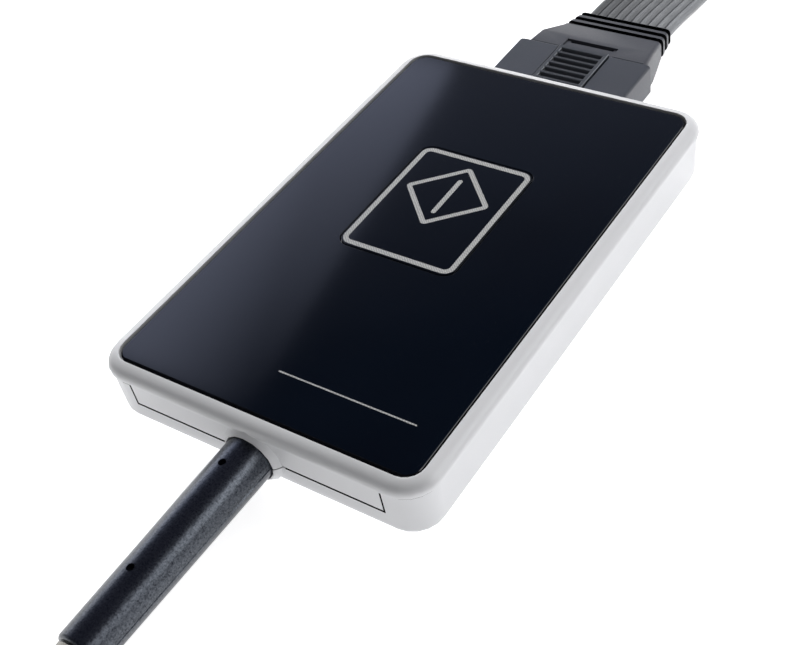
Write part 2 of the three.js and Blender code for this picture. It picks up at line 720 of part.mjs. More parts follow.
const USB_LEVEL_TOP = COIL_BASE + USB_DIAMETER / 2 + (COIL_LAYERS - 1) * USB_PITCH;
const tailHub = way(TAIL_LEAVES_AT).multiplyScalar(COIL_RADIUS - TAIL_BEND).add(new THREE.Vector3(COIL_X, COIL_Y, 0));
const usbPlugAt = tailHub.clone().addScaledVector(way(-90), TAIL_BEND).setZ(USB_PLUG_Z);

// Up from the coil's end, round above the coil and in to the plug that lies on it
function usbTailPoints() {
  const heading = way(COIL_ENTRY_ANGLE - 90);
  const line = coilLine();
  const start = line[line.length - 1].addScaledVector(heading, GAP);
  const first = COIL_ENTRY_ANGLE - TAIL_FIRST_ANGLE;
  const outer = arcPoints([COIL_X, COIL_Y], COIL_RADIUS, first, TAIL_LEAVES_AT, 1);
  const inner = arcPoints([tailHub.x, tailHub.y], TAIL_BEND, TAIL_LEAVES_AT, -90, STRETCH_STEPS);
  const next = start.clone().addScaledVector(heading, USB_DIAMETER / 2);
  const last = usbPlugAt.x + GAP;
  const flat = [
    [start.x, start.y],
    [next.x, next.y],
    ...outer,
    ...inner.slice(1, -1),
    [last + USB_DIAMETER / 4, usbPlugAt.y],
    [last, usbPlugAt.y],
  ];
  return flat.map(([x, y], i) => {
    const share = shareBetween(i / (flat.length - 1), 0, TAIL_RISE_SHARE);
    return [x, y, USB_LEVEL_TOP + share * (USB_PLUG_Z - USB_LEVEL_TOP)];
  });
}

// The plug's own frame has its cable end at the origin and points along +Y.
function makeUsbPlugBody() {
  const start = USB_BOOT_LENGTH;
  const end = USB_BOOT_LENGTH + USB_BODY_LENGTH;
  const section = (y, inset) => ({
    y,
    width: USB_BODY_WIDTH - 2 * inset,
    bottom: inset - USB_BODY_HEIGHT / 2,
    top: USB_BODY_HEIGHT / 2 - inset,
    radius: USB_BODY_CORNER,
  });
  const boot = solid(
    turned([[0, 0], [USB_DIAMETER / 2 + GAP, 0], [USB_BOOT_RADIUS, start + OVERRUN], [0, start + OVERRUN]], SMALL_SIDES),
  );
  const body = alongY([
    section(start, BOSS_PROUD),
    section(start + BOSS_PROUD, GAP),
    section(start + 2 * BOSS_PROUD, 0),
    section(end - GAP, 0),
    section(end, GAP),
  ]);
  const half = USB_SHELL_WIDTH / 2 + FIT;
  const tall = USB_SHELL_HEIGHT / 2 + FIT;
  return without(joined(boot, body), box(-half, half, end - 2 * OVERRUN, end + OVERRUN, -tall, tall));
}

function makeUsbPlugShell() {
  const start = USB_BOOT_LENGTH + USB_BODY_LENGTH - 2 * OVERRUN + FIT;
  const end = USB_BOOT_LENGTH + USB_BODY_LENGTH + USB_SHELL_LENGTH;
  const halfX = USB_SHELL_WIDTH / 2;
  const halfZ = USB_SHELL_HEIGHT / 2;
  const x = halfX - USB_SHELL_WALL;
  const z = halfZ - USB_SHELL_WALL;
  const windows = [-1, 1].map((side) => {
    const middle = (side * USB_SHELL_WIDTH) / 4;
    const reach = USB_SHELL_WIDTH / 10;
    const front = end - USB_SHELL_LENGTH / 2;
    return box(middle - reach, middle + reach, front, front + 2 * reach, 0, USB_SHELL_HEIGHT);
  });
  return without(
    box(-halfX, halfX, start, end, -halfZ, halfZ),
    box(-x, x, start + USB_SHELL_WALL, end + OVERRUN, -z, z),
    ...windows,
  );
}

function makeUsbPlugTongue() {
  const start = USB_BOOT_LENGTH + USB_BODY_LENGTH - 2 * OVERRUN + FIT + USB_SHELL_WALL + FIT;
  const end = USB_BOOT_LENGTH + USB_BODY_LENGTH + USB_SHELL_LENGTH - USB_TONGUE_SETBACK;
  const half = USB_SHELL_WIDTH / 2 - USB_SHELL_WALL - FIT;
  const bottom = USB_SHELL_WALL + FIT - USB_SHELL_HEIGHT / 2;
  return box(-half, half, start, end, bottom, bottom + USB_TONGUE_HEIGHT);
}

// A strap round the turns of a coil or roll, from its inner side at r0 to its outer side at r1
function makeTie(innermost, r1, top, width = TIE_WIDTH) {
  const r0 = innermost - TIE_SLACK;
  const strap = GAP + TIE_THICKNESS;
  const loop = (margin, half) =>
    loft(
      [-half, half].map((y) =>
        roundedOutline((r1 - r0) / 2 + margin, (top - COIL_BASE) / 2 + margin, TIE_CORNER, 3).map(
          ([x, z]) => new THREE.Vector3((r0 + r1) / 2 + x, y, (top + COIL_BASE) / 2 + z),
        ),
      ),
    );
  return without(loop(strap, width / 2), loop(GAP, width));
}

// Patient socket in the housing

const SOCKET_WIDTH = 25;
const SOCKET_BOTTOM = 3.0;
const SOCKET_TOP = 8.4;
const SOCKET_WALL = 0.5;
const SOCKET_LENGTH = 10.3;
const SOCKET_INSET = 0.75;
const SOCKET_BACK = BODY_LENGTH / 2 - SOCKET_INSET;
const SOCKET_FRONT = SOCKET_BACK - SOCKET_LENGTH;
const INSERT_DEPTH = 3;
const TONGUE_WIDTH = 19;
const TONGUE_THICKNESS = 1.4;
const TONGUE_LENGTH = 5.4;
const SOCKET_Z = (SOCKET_BOTTOM + SOCKET_TOP) / 2;

function socketSection(y, inset) {
  return {
    y,
    width: SOCKET_WIDTH - 2 * inset,
    bottom: SOCKET_BOTTOM + inset,
    top: SOCKET_TOP - inset,
    radius: BOSS_PROUD - inset / 2,
  };
}

function makeSocketShell() {
  return without(
    alongY([socketSection(SOCKET_FRONT, 0), socketSection(SOCKET_BACK, 0)]),
    alongY([
      socketSection(SOCKET_FRONT + SOCKET_WALL, SOCKET_WALL),
      socketSection(SOCKET_BACK + OVERRUN, SOCKET_WALL),
    ]),
  );
}

function makeSocketInsert() {
  const start = SOCKET_FRONT + SOCKET_WALL + FIT;
  const end = start + INSERT_DEPTH;
  const inset = SOCKET_WALL + FIT;
  const halfZ = TONGUE_THICKNESS / 2;
  return joined(
    alongY([socketSection(start, inset), socketSection(end, inset)]),
    box(-TONGUE_WIDTH / 2, TONGUE_WIDTH / 2, end - OVERRUN, end + TONGUE_LENGTH, SOCKET_Z - halfZ, SOCKET_Z + halfZ),
  );
}

// Patient plug

const SHROUD_WIDTH = 29.6;
const SHROUD_LENGTH = 12.6;
const SHROUD_BOTTOM = 1.6;
const SHROUD_TOP = 10.9;
const SHROUD_CORNER = 0.6;
const SHROUD_FLARE = 0.6;
const KEEL_WIDTH = 3.0; // the slopes under the shroud's sides
const KEEL_HEIGHT = 3.2;
const SHROUD_START = BODY_LENGTH / 2 + GAP;
const SHROUD_END = SHROUD_START + SHROUD_LENGTH;
const CONTACT_POCKET = 3;
const TRACK_WIDTH = 11.6;
const TRACK_DEPTH = 1.0;
const SLIDER_WIDTH = 11;
const SLIDER_LENGTH = 12.3;
const SLIDER_START = 0.3; // from the shroud's front face
const SLIDER_TRAVEL = 2;
const SLIDER_PROUD = 0.35;
const SLIDER_GROOVES = 6;
const GROOVE_WIDTH = 1.15;
const GROOVE_DEPTH = 0.7;
const SLIDER_BORDER = 0.9;
const SLIDER_LIP = 0.35; // the pad's narrow border at the housing
const HOOD_WIDTH = 26.9;
const HOOD_SHOULDER_WIDTH = 25.7;
const HOOD_LENGTH = 18.4;
const HOOD_TOP = 10.3;
const HOOD_BOTTOM = 2.9;
const NECK_WIDTH = 20.7;
const NECK_SPREAD = 1.9; // how much wider the neck is where it meets the hood
const NECK_RISE = 1.0; // and how much higher
const NECK_LENGTH = 5.2;
const NECK_TOP = 7.1;
const NECK_BOTTOM = 3.4;
const HOOD_SHOULDER = 4.6;
const HOOD_RECESS = 3.2; // the room that the slider's pad draws back into
const HOOD_SLOT_WIDTH = 0.6;
const HOOD_SLOT_DEPTH = 1.6;
const HOOD_CORNER = 0.9;
const NECK_GROOVES = 3;
const NECK_GROOVE_WIDTH = 0.9;
const NECK_GROOVE_DEPTH = 0.6;
const NECK_GROOVE_PITCH = 1.7;
const RIBBON_Z = 4.8;

// The plug's nose goes into the socket round the socket's tongue.
function makeContactBlock() {
  const front = SOCKET_FRONT + SOCKET_WALL + INSERT_DEPTH + 2 * FIT + GAP;
  const inset = SOCKET_WALL + FIT;
  const halfX = TONGUE_WIDTH / 2 + FIT;
  const halfZ = TONGUE_THICKNESS / 2 + FIT;
  const end = SHROUD_START + CONTACT_POCKET - FIT;
  return without(
    alongY([socketSection(front, inset), socketSection(end, inset)]),
    box(-halfX, halfX, front - OVERRUN, front + TONGUE_LENGTH + GAP, SOCKET_Z - halfZ, SOCKET_Z + halfZ),
  );
}

function shroudSection(y, inset) {
  return {
    y,
    width: SHROUD_WIDTH - 2 * inset,
    bottom: SHROUD_BOTTOM + inset,
    top: SHROUD_TOP - inset,
    radius: SHROUD_CORNER,
  };
}

// A diamond along the shroud's lower edge cuts its slope.
function keelSlope(side) {
  const along = (y) => new THREE.Vector3((side * SHROUD_WIDTH) / 2, y, SHROUD_BOTTOM);
  const points = [along(SHROUD_START - OVERRUN), along(SHROUD_END + OVERRUN)];
  const sides = points.map(() => new THREE.Vector3(1, 0, 0));
  return swept(points, sides, [[KEEL_WIDTH, 0], [0, KEEL_HEIGHT], [-KEEL_WIDTH, 0], [0, -KEEL_HEIGHT]]);
}

function makeShroud() {
  const block = alongY([
    shroudSection(SHROUD_START, SHROUD_FLARE / 2),
    shroudSection(SHROUD_START + SHROUD_FLARE, 0),
    shroudSection(SHROUD_END - SHROUD_FLARE, 0),
    shroudSection(SHROUD_END, SHROUD_FLARE / 2),
  ]);
  const pocket = alongY([
    socketSection(SHROUD_START - OVERRUN, SOCKET_WALL),
    socketSection(SHROUD_START + CONTACT_POCKET, SOCKET_WALL),
  ]);
  const half = TRACK_WIDTH / 2;
  const track = box(
    -half,
    half,
    SHROUD_START - OVERRUN,
    SHROUD_END + OVERRUN,
    SHROUD_TOP - TRACK_DEPTH,
    SHROUD_TOP + OVERRUN,
  );
  const wireRoom = { width: NECK_WIDTH - WALL, bottom: NECK_BOTTOM + OVERRUN, top: NECK_TOP - OVERRUN };
  const wires = alongY([
    { ...shroudSection(SHROUD_END - SHROUD_LENGTH / 2, 0), ...wireRoom },
    { ...shroudSection(SHROUD_END + OVERRUN, 0), ...wireRoom },
  ]);
  const deep = SPRING_SPACE + FIT;
  const spring = box(
    -SPRING_LENGTH / 2 - FIT,
    SPRING_LENGTH / 2 + FIT,
    SPRING_START - FIT,
    SPRING_START + SPRING_WIDTH + FIT,
    SHROUD_TOP - TRACK_DEPTH - deep,
    SHROUD_TOP,
  );
  return without(block, pocket, track, wires, spring, keelSlope(-1), keelSlope(1));
}

// The latch's pad with its finger grooves between raised borders
function makeSlider() {
  const start = SHROUD_START + SLIDER_START;
  const half = SLIDER_WIDTH / 2;
  const bottom = SHROUD_TOP - TRACK_DEPTH + FIT;
  const top = SHROUD_TOP + SLIDER_PROUD;
  const pad = box(-half, half, start, start + SLIDER_LENGTH, bottom, top);
  const pitch = (SLIDER_LENGTH - SLIDER_BORDER - SLIDER_LIP) / SLIDER_GROOVES;
  const inner = half - SLIDER_BORDER;
  const grooves = Array.from({ length: SLIDER_GROOVES }, (_, i) => {
    const middle = start + SLIDER_LIP + pitch * (i + 1 / 2);
    const side = GROOVE_WIDTH / 2;
    return box(-inner, inner, middle - side, middle + side, top - GROOVE_DEPTH, top + OVERRUN);
  });
  return without(pad, ...grooves);
}

// A bowed leaf under the pad
const SPRING_LENGTH = 8;
const SPRING_WIDTH = 2;
const SPRING_THICKNESS = 0.3;
const SPRING_SPACE = 0.9;
const SPRING_START = SHROUD_START + SLIDER_LENGTH / 3;

function makeLatchSpring() {
  const seat = SHROUD_TOP - TRACK_DEPTH - SPRING_SPACE;
  const points = [];
  const sides = [];
  for (let i = 0; i <= ROLL_STEPS; i += 1) {
    const share = i / ROLL_STEPS;
    const bow = Math.sin(share * Math.PI) * (SPRING_SPACE - 2 * SPRING_THICKNESS);
    points.push(new THREE.Vector3((share - 1 / 2) * SPRING_LENGTH, SPRING_START + SPRING_WIDTH / 2, seat + SPRING_THICKNESS + bow));
    sides.push(new THREE.Vector3(0, 1, 0));
  }
  const x = SPRING_WIDTH / 2;
  const y = SPRING_THICKNESS / 2;
  return swept(points, sides, [[x, y], [-x, y], [-x, -y], [x, -y]]);
}

// The hood narrows from the shroud over its shoulders to the grooved neck round the ribbon.
function makeHood() {
  const start = SHROUD_END + GAP;
  const end = start + HOOD_LENGTH;
  const neck = end - NECK_LENGTH;
  const wide = { width: HOOD_WIDTH, bottom: HOOD_BOTTOM, top: HOOD_TOP, radius: HOOD_CORNER };
  const narrow = (share) => ({
    width: NECK_WIDTH + NECK_SPREAD * share,
    bottom: NECK_BOTTOM,
    top: NECK_TOP + NECK_RISE * share,
    radius: HOOD_CORNER,
  });
  const round = (section, inset) => ({
    ...section,
    width: section.width - 2 * inset,
    bottom: section.bottom + inset,
    top: section.top - inset,
  });
  const block = alongY([
    { ...round(wide, GAP), y: start },
    { ...wide, y: start + GAP },
    { ...wide, width: HOOD_SHOULDER_WIDTH, y: start + HOOD_SHOULDER },
    { ...narrow(1), y: neck },
    { ...narrow(GAP / NECK_LENGTH), y: end - GAP },
    { ...round(narrow(0), GAP), y: end },
  ]);
  const grooves = Array.from({ length: NECK_GROOVES }, (_, i) => {
    const middle = end - NECK_LENGTH / 2 + (i - (NECK_GROOVES - 1) / 2) * NECK_GROOVE_PITCH;
    const ridge = narrow((end - middle) / NECK_LENGTH);
    const inside = round(ridge, NECK_GROOVE_DEPTH);
    const outside = round(ridge, -OVERRUN);
    const from = middle - NECK_GROOVE_WIDTH / 2;
    const to = middle + NECK_GROOVE_WIDTH / 2;
    return without(
      alongY([{ ...outside, y: from }, { ...outside, y: to }]),
      alongY([{ ...inside, y: from - OVERRUN }, { ...inside, y: to + OVERRUN }]),
    );
  });
  const half = SLIDER_WIDTH / 2 + FIT;
  const back = start + HOOD_RECESS;
  const recess = box(-half, half, start - OVERRUN, back, SHROUD_TOP - TRACK_DEPTH, SHROUD_TOP + OVERRUN);
  const slotHalf = half - SLIDER_BORDER;
  const slot = box(
    -slotHalf,
    slotHalf,
    back - HOOD_SLOT_WIDTH,
    back,
    HOOD_TOP - HOOD_SLOT_DEPTH,
    HOOD_TOP + OVERRUN,
  );
  return without(block, ...grooves, recess, slot);
}

// Patient cable: ten bonded leads, a roll past the plug, and the plugs on the leads' ends

const RIBBON_WIDTH = (LEADS - 1) * LEAD_PITCH + LEAD_DIAMETER;
const RIBBON_START = SHROUD_END + GAP + HOOD_LENGTH + GAP;
const RIBBON_STEPS = 18;
const ROLL_X = 2;
const ROLL_AWAY = 106.25; // from the housing's back end to the roll's centre
const ROLL_Y = BODY_LENGTH / 2 + ROLL_AWAY;
const RIBBON_DRIFT = 1.5; // to the right, before it turns to the roll's left side
const DRIFT_START = RIBBON_START + LEAD_DIAMETER;
const TWIST_STOP = 7; // before the roll's centre
const TWIST_LENGTH = 46;
const TURN_STOP = 13; // before the roll's centre
const TURN_LENGTH = 41;
const TWIST_END = ROLL_Y - TWIST_STOP;
const TWIST_START = TWIST_END - TWIST_LENGTH;
const TURN_END = ROLL_Y - TURN_STOP;
const TURN_START = TURN_END - TURN_LENGTH;
const DRIFT_END = TWIST_START;
const ROLL_CORE = 14;
const ROLL_PITCH = 2 * (LEAD_DIAMETER + SLIT);
const ROLL_TURNS = 3; // of either arm
const ROLL_Z = COIL_BASE + RIBBON_WIDTH / 2;
const CORE_STEPS = 8;
const ROLL_RADIUS = ROLL_CORE + ROLL_PITCH * ROLL_TURNS;
const FAN_AFTER = 11; // past the roll's centre
const FAN_LENGTH = 50;
const FAN_START = ROLL_Y + FAN_AFTER;
const FAN_END = FAN_START + FAN_LENGTH;
const FAN_PITCH = 6.4;
const FAN_STEPS = 10;
const LEAD_GRIP_RADIUS = 2.9;
const LEAD_GRIP_LENGTH = 16;
const LEAD_PIN_RADIUS = 1.5;
const LEAD_PIN_LENGTH = 11;
const LEAD_REST = GAP / 3;
const LEAD_PLUG_Z = LEAD_REST + LEAD_GRIP_RADIUS;

function ribbonSection() {
  const x = RIBBON_WIDTH / 2;
  const y = LEAD_DIAMETER / 2;
  return [[x, 0], [x - y, y], [y - x, y], [-x, 0], [y - x, -y], [x - y, -y]];
}

// The ribbon leaves the plug flat and turns on edge on its way to the roll's left side.
function ribbonLine() {
  const points = [];
  const sides = [];
  const end = ROLL_Y - LEAD_DIAMETER - GAP;
  for (let i = 0; i <= RIBBON_STEPS; i += 1) {
    const y = RIBBON_START + ((end - RIBBON_START) * i) / RIBBON_STEPS;
    const twist = (shareBetween(y, TWIST_START, TWIST_END) * Math.PI) / 2;
    const drift = shareBetween(y, DRIFT_START, DRIFT_END) * RIBBON_DRIFT;
    const x = drift + shareBetween(y, TURN_START, TURN_END) * (ROLL_X - ROLL_RADIUS - RIBBON_DRIFT);
    const z = RIBBON_Z + Math.sin(twist) * (ROLL_Z - RIBBON_Z);
    points.push(new THREE.Vector3(x, y, z));
    sides.push(new THREE.Vector3(Math.cos(twist), 0, Math.sin(twist)));
  }
  return { points, sides };
}

function makeRibbon() {
  const { points, sides } = ribbonLine();
  return swept(points, sides, ribbonSection());
}

// On edge and wound double round a fold, so both of its ends lie outside
function rollPoint(angle, radius, hub = 0) {
  const place = way(180 - angle).multiplyScalar(radius);
  return new THREE.Vector3(ROLL_X - hub + place.x, ROLL_Y + place.y, ROLL_Z);
}

function rollLine() {
  const count = ROLL_TURNS * LOOP_STEPS;
  const fold = ROLL_CORE / 2;
  const arm = (i) => ROLL_CORE + (ROLL_PITCH * i) / LOOP_STEPS;
  const angle = (i) => (-360 * i) / LOOP_STEPS;
  const points = [];
  for (let i = count; i >= 0; i -= 1) {
    points.push(rollPoint(angle(i), arm(i)));
  }
  for (let i = 1; i <= CORE_STEPS; i += 1) {
    points.push(rollPoint((180 * i) / CORE_STEPS, fold, fold));
  }
  for (let i = 1; i < CORE_STEPS; i += 1) {
    points.push(rollPoint((-180 * i) / CORE_STEPS, fold, -fold));
  }
  for (let i = 0; i <= count; i += 1) {
    points.push(rollPoint(180 + angle(i), arm(i)));
  }
  const lead = new THREE.Vector3(0, LEAD_DIAMETER, 0);
  return [points[0].clone().sub(lead), ...points, points[points.length - 1].clone().add(lead)];
}

function makeRoll() {
  const points = rollLine();
  const sides = points.map(() => new THREE.Vector3(0, 0, 1));
  console.log(`ribbon roll: least gap ${leastGap(points, LEAD_DIAMETER, CORE_STEPS).toFixed(2)} mm`);
  return swept(points, sides, ribbonSection());
}

const leadOffset = (lead) => (lead - (LEADS - 1) / 2) * LEAD_PITCH;
const leadPlugX = (lead) => ((LEADS - 1) / 2 - lead) * FAN_PITCH;

function fanPoints(lead) {
  const from = ROLL_Y + LEAD_DIAMETER + 2 * GAP;
  const x = ROLL_X + ROLL_RADIUS;
  const z = ROLL_Z + leadOffset(lead);
  const points = [[x, from, z]];
  for (let i = 0; i < FAN_STEPS; i += 1) {
    const share = smooth(i / FAN_STEPS);
    const y = FAN_START + ((FAN_END - FAN_START) * i) / FAN_STEPS;
    points.push([x + share * (leadPlugX(lead) - x), y, z + share * (LEAD_PLUG_Z - z)]);
  }
  return [...points, [leadPlugX(lead), FAN_END - GAP, LEAD_PLUG_Z]];
}

// Past the roll the bonded leads part and lie down side by side.
function makeFan() {
  const start = ROLL_Y + LEAD_DIAMETER + GAP;
  const x = ROLL_X + ROLL_RADIUS;
  const ends = [start, FAN_START].map((y) => new THREE.Vector3(x, y, ROLL_Z));
  const sides = ends.map(() => new THREE.Vector3(0, 0, 1));
  const leads = Array.from({ length: LEADS }, (_, lead) =>
    cable(fanPoints(lead), LEAD_DIAMETER, TUBE_SIDES, FAN_STEPS),
  );
  return joined(swept(ends, sides, ribbonSection()), ...leads);
}

// A slim moulded grip with ribs and a round contact pin
function makeLeadPlug(lead) {
  const r = LEAD_GRIP_RADIUS;
  const grip = LEAD_GRIP_LENGTH;
  const end = grip + LEAD_PIN_LENGTH;
  const profile = [
    [0, 0],
    [LEAD_DIAMETER / 2 + GAP, 0],
    [r - GAP, grip / 3],
    [r, grip / 2],
    [r, grip - GAP],
    [r - GAP, grip],
    [LEAD_PIN_RADIUS, grip],
    [LEAD_PIN_RADIUS, end - LEAD_PIN_RADIUS / 2],
    [LEAD_PIN_RADIUS / 2, end],
    [0, end],
  ];
  return solid(turned(profile, SMALL_SIDES).translate(leadPlugX(lead), FAN_END, LEAD_PLUG_Z));
}

// Assembly

const materials = {
  shell_grey: { color: 0xc4c6c6, roughness: 0.55, metalness: 0 },
  panel_blue_black: { color: 0x0c1420, roughness: 0.12, metalness: 0 },
  sleeve_dark: { color: 0x24252b, roughness: 0.7, metalness: 0 },
  cable_grey: { color: 0x9a9890, roughness: 0.6, metalness: 0 },
  plug_slate: { color: 0x3f4451, roughness: 0.5, metalness: 0 },
  rubber_dark: { color: 0x202226, roughness: 0.9, metalness: 0 },
  board_green: { color: 0x1e5a3a, roughness: 0.5, metalness: 0 },
  chip_black: { color: 0x18191b, roughness: 0.5, metalness: 0 },
  insulator_black: { color: 0x1c1d20, roughness: 0.5, metalness: 0 },
  steel: { color: 0xb9bcc0, roughness: 0.3, metalness: 1 },
  tie_black: { color: 0x1a1a1c, roughness: 0.6, metalness: 0 },
};

const part = new THREE.Group();
const shared = Object.fromEntries(
  Object.entries(materials).map(([slot, look]) => [slot, new THREE.MeshStandardMaterial(look)]),
);

function place(name, piece, slot) {
  const { vertProperties, triVerts } = piece.getMesh();
  const geometry = new THREE.BufferGeometry();
  geometry.setAttribute("position", new THREE.BufferAttribute(new Float32Array(vertProperties), 3));
  geometry.setIndex(new THREE.BufferAttribute(new Uint32Array(triVerts), 1));
  geometry.computeVertexNormals();
  const mesh = new THREE.Mesh(geometry, shared[slot]);
  mesh.name = name;
  part.add(mesh);
}

function placeHousing() {
  place("upper_shell", makeUpperShell(), "shell_grey");
  place("lower_shell", makeLowerShell(), "shell_grey");
  place("front_panel", makePanel(), "panel_blue_black");
  place("start_key", makeStartKey(), "panel_blue_black");
  screwPlaces.forEach(([x, y], i) => {
    place(`case_screw_${i + 1}`, makeScrew().translate([x, y, BODY_BOTTOM + SCREW_SINK]), "steel");
  });
  footPlaces.forEach(([x, y], i) => place(`foot_${i + 1}`, makeFoot().translate([x, y, 0]), "rubber_dark"));
}

function placeElectronics() {
  place("circuit_board", makeBoard(), "board_green");
  place("start_key_switch", makeKeySwitch(), "chip_black");
  Object.entries(boardPieces).forEach(([name, size]) => {
    const bright = name === "clock_crystal" || name === "input_filter_can";
    place(name, makeBoardPiece(size), bright ? "steel" : "chip_black");
  });
  place("supply_capacitor", makeCapacitor(), "chip_black");
  place("cable_header", makeHeader(), "insulator_black");
  place("inner_cable", makeInnerCable(), "cable_grey");
  place("cable_clamp", makeClamp(), "insulator_black");
  place("patient_socket_shell", makeSocketShell(), "steel");
  place("patient_socket_insert", makeSocketInsert(), "insulator_black");
}

function placeComputerCable() {
  const onCoil = (piece) => piece.rotate([0, 0, USB_TIE_ANGLE]).translate([COIL_X, COIL_Y, 0]);
  const inner = COIL_RADIUS - LAYER_TURNS * USB_PITCH - USB_DIAMETER / 2;
  const onPlug = (piece) => piece.rotate([0, 0, 90]).translate(usbPlugAt.toArray());
  place("usb_sleeve", makeSleeve(), "sleeve_dark");
  place("sleeve_end_collar", makeCollar(), "cable_grey");
  place("usb_cable", cable(usbStretchPoints(), USB_DIAMETER, CABLE_SIDES, RIBBON_STEPS), "cable_grey");
  place("usb_cable_coil", makeCoil(), "cable_grey");
  place("usb_cable_tail", cable(usbTailPoints(), USB_DIAMETER, CABLE_SIDES, RIBBON_STEPS), "cable_grey");
  place("usb_coil_tie", onCoil(makeTie(inner, COIL_RADIUS + USB_DIAMETER / 2, COIL_TOP)), "tie_black");
  place("usb_plug_body", onPlug(makeUsbPlugBody()), "cable_grey");
  place("usb_plug_shell", onPlug(makeUsbPlugShell()), "steel");
  place("usb_plug_tongue", onPlug(makeUsbPlugTongue()), "insulator_black");
}

function placePatientCable() {
  const half = LEAD_DIAMETER / 2;
  const inner = ROLL_CORE + ROLL_PITCH / 4 - half;
  const outer = ROLL_RADIUS - ROLL_PITCH / 4 + half;
  const onRoll = (piece) => piece.rotate([0, 0, -90]).translate([ROLL_X, ROLL_Y, 0]);
  place("plug_contact_block", makeContactBlock(), "insulator_black");
  place("plug_shroud", makeShroud(), "plug_slate");
  place("plug_hood", makeHood(), "plug_slate");
  place("latch_slider", makeSlider(), "plug_slate");
  place("latch_spring", makeLatchSpring(), "steel");
  place("ribbon_cable", makeRibbon(), "plug_slate");
  place("ribbon_roll", makeRoll(), "plug_slate");
  place("ribbon_tie", onRoll(makeTie(inner, outer, COIL_BASE + RIBBON_WIDTH)), "tie_black");
  place("lead_fan", makeFan(), "plug_slate");
  for (let lead = 0; lead < LEADS; lead += 1) {
    place(`lead_plug_${lead + 1}`, makeLeadPlug(lead), "plug_slate");
  }
}

placeHousing();
placeElectronics();
placeComputerCable();
placePatientCable();

export default part;
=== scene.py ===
"""The looks of a palm-sized ECG recorder: camera, cords, housing, plugs, lights.

The scene is in metres with +Z up. Lengths are written in millimetres and become metres by MM.
"""
import json
import math

import bmesh
import bpy
from mathutils import Matrix, Vector

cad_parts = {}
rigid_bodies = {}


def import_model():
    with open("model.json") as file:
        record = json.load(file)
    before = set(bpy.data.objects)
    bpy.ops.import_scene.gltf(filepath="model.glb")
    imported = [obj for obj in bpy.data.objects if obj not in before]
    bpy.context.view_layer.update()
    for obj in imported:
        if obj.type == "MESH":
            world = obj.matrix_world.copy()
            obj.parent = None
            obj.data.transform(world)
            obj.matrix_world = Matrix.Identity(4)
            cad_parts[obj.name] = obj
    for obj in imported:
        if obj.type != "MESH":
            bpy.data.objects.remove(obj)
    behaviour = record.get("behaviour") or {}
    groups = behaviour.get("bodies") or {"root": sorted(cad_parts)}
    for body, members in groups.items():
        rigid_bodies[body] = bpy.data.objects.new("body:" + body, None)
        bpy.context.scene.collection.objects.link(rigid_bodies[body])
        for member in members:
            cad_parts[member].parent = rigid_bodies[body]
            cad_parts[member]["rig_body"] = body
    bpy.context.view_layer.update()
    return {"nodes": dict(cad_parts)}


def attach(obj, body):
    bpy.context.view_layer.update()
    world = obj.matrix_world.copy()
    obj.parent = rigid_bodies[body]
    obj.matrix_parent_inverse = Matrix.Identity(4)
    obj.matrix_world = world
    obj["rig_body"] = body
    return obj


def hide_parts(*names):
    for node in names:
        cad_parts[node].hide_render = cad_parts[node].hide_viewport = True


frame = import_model()

MM = 0.001
PANEL_Z = 12.6  # the panel's face
scene = bpy.context.scene
nodes = frame["nodes"]


# Camera

EYE = Vector((112.5, -139.3, 160.7))
AHEAD = Vector((-0.4754, 0.5495, -0.6870)).normalized()
UP = Vector((-0.2947, 0.6363, 0.7129))
FOCAL_LENGTH = 59.16
SENSOR_WIDTH = 36


def make_camera():
    data = bpy.data.cameras.new("camera")
    data.lens = FOCAL_LENGTH
    data.sensor_width = SENSOR_WIDTH
    data.sensor_fit = "HORIZONTAL"
    data.clip_start = 0.01
    data.clip_end = 20
    camera = bpy.data.objects.new("camera", data)
    scene.collection.objects.link(camera)
    right = AHEAD.cross(UP).normalized()
    turn = Matrix((right, right.cross(AHEAD), -AHEAD)).transposed().to_4x4()
    camera.matrix_world = Matrix.Translation(EYE * MM) @ turn
    scene.camera = camera


make_camera()


# Materials


class Tree:
    """A short way to add and join shader nodes."""

    def __init__(self, owner):
        owner.use_nodes = True
        self.tree = owner.node_tree

    def add(self, kind, **values):
        node = self.tree.nodes.new(kind)
        for key, value in values.items():
            node.inputs[key].default_value = value
        return node

    def join(self, source, target):
        self.tree.links.new(source, target)

    def ramp(self, factor, low, high, start=0.3, end=0.7):
        ramp = self.add("ShaderNodeValToRGB")
        ramp.color_ramp.elements[0].color = (*low, 1)
        ramp.color_ramp.elements[0].position = start
        ramp.color_ramp.elements[1].color = (*high, 1)
        ramp.color_ramp.elements[1].position = end
        self.join(factor, ramp.inputs["Fac"])
        return ramp.outputs["Color"]

    def mix(self, factor, low, high):
        node = self.add("ShaderNodeMixShader")
        self.join(factor, node.inputs["Fac"])
        self.join(low, node.inputs[1])
        self.join(high, node.inputs[2])
        return node.outputs["Shader"]


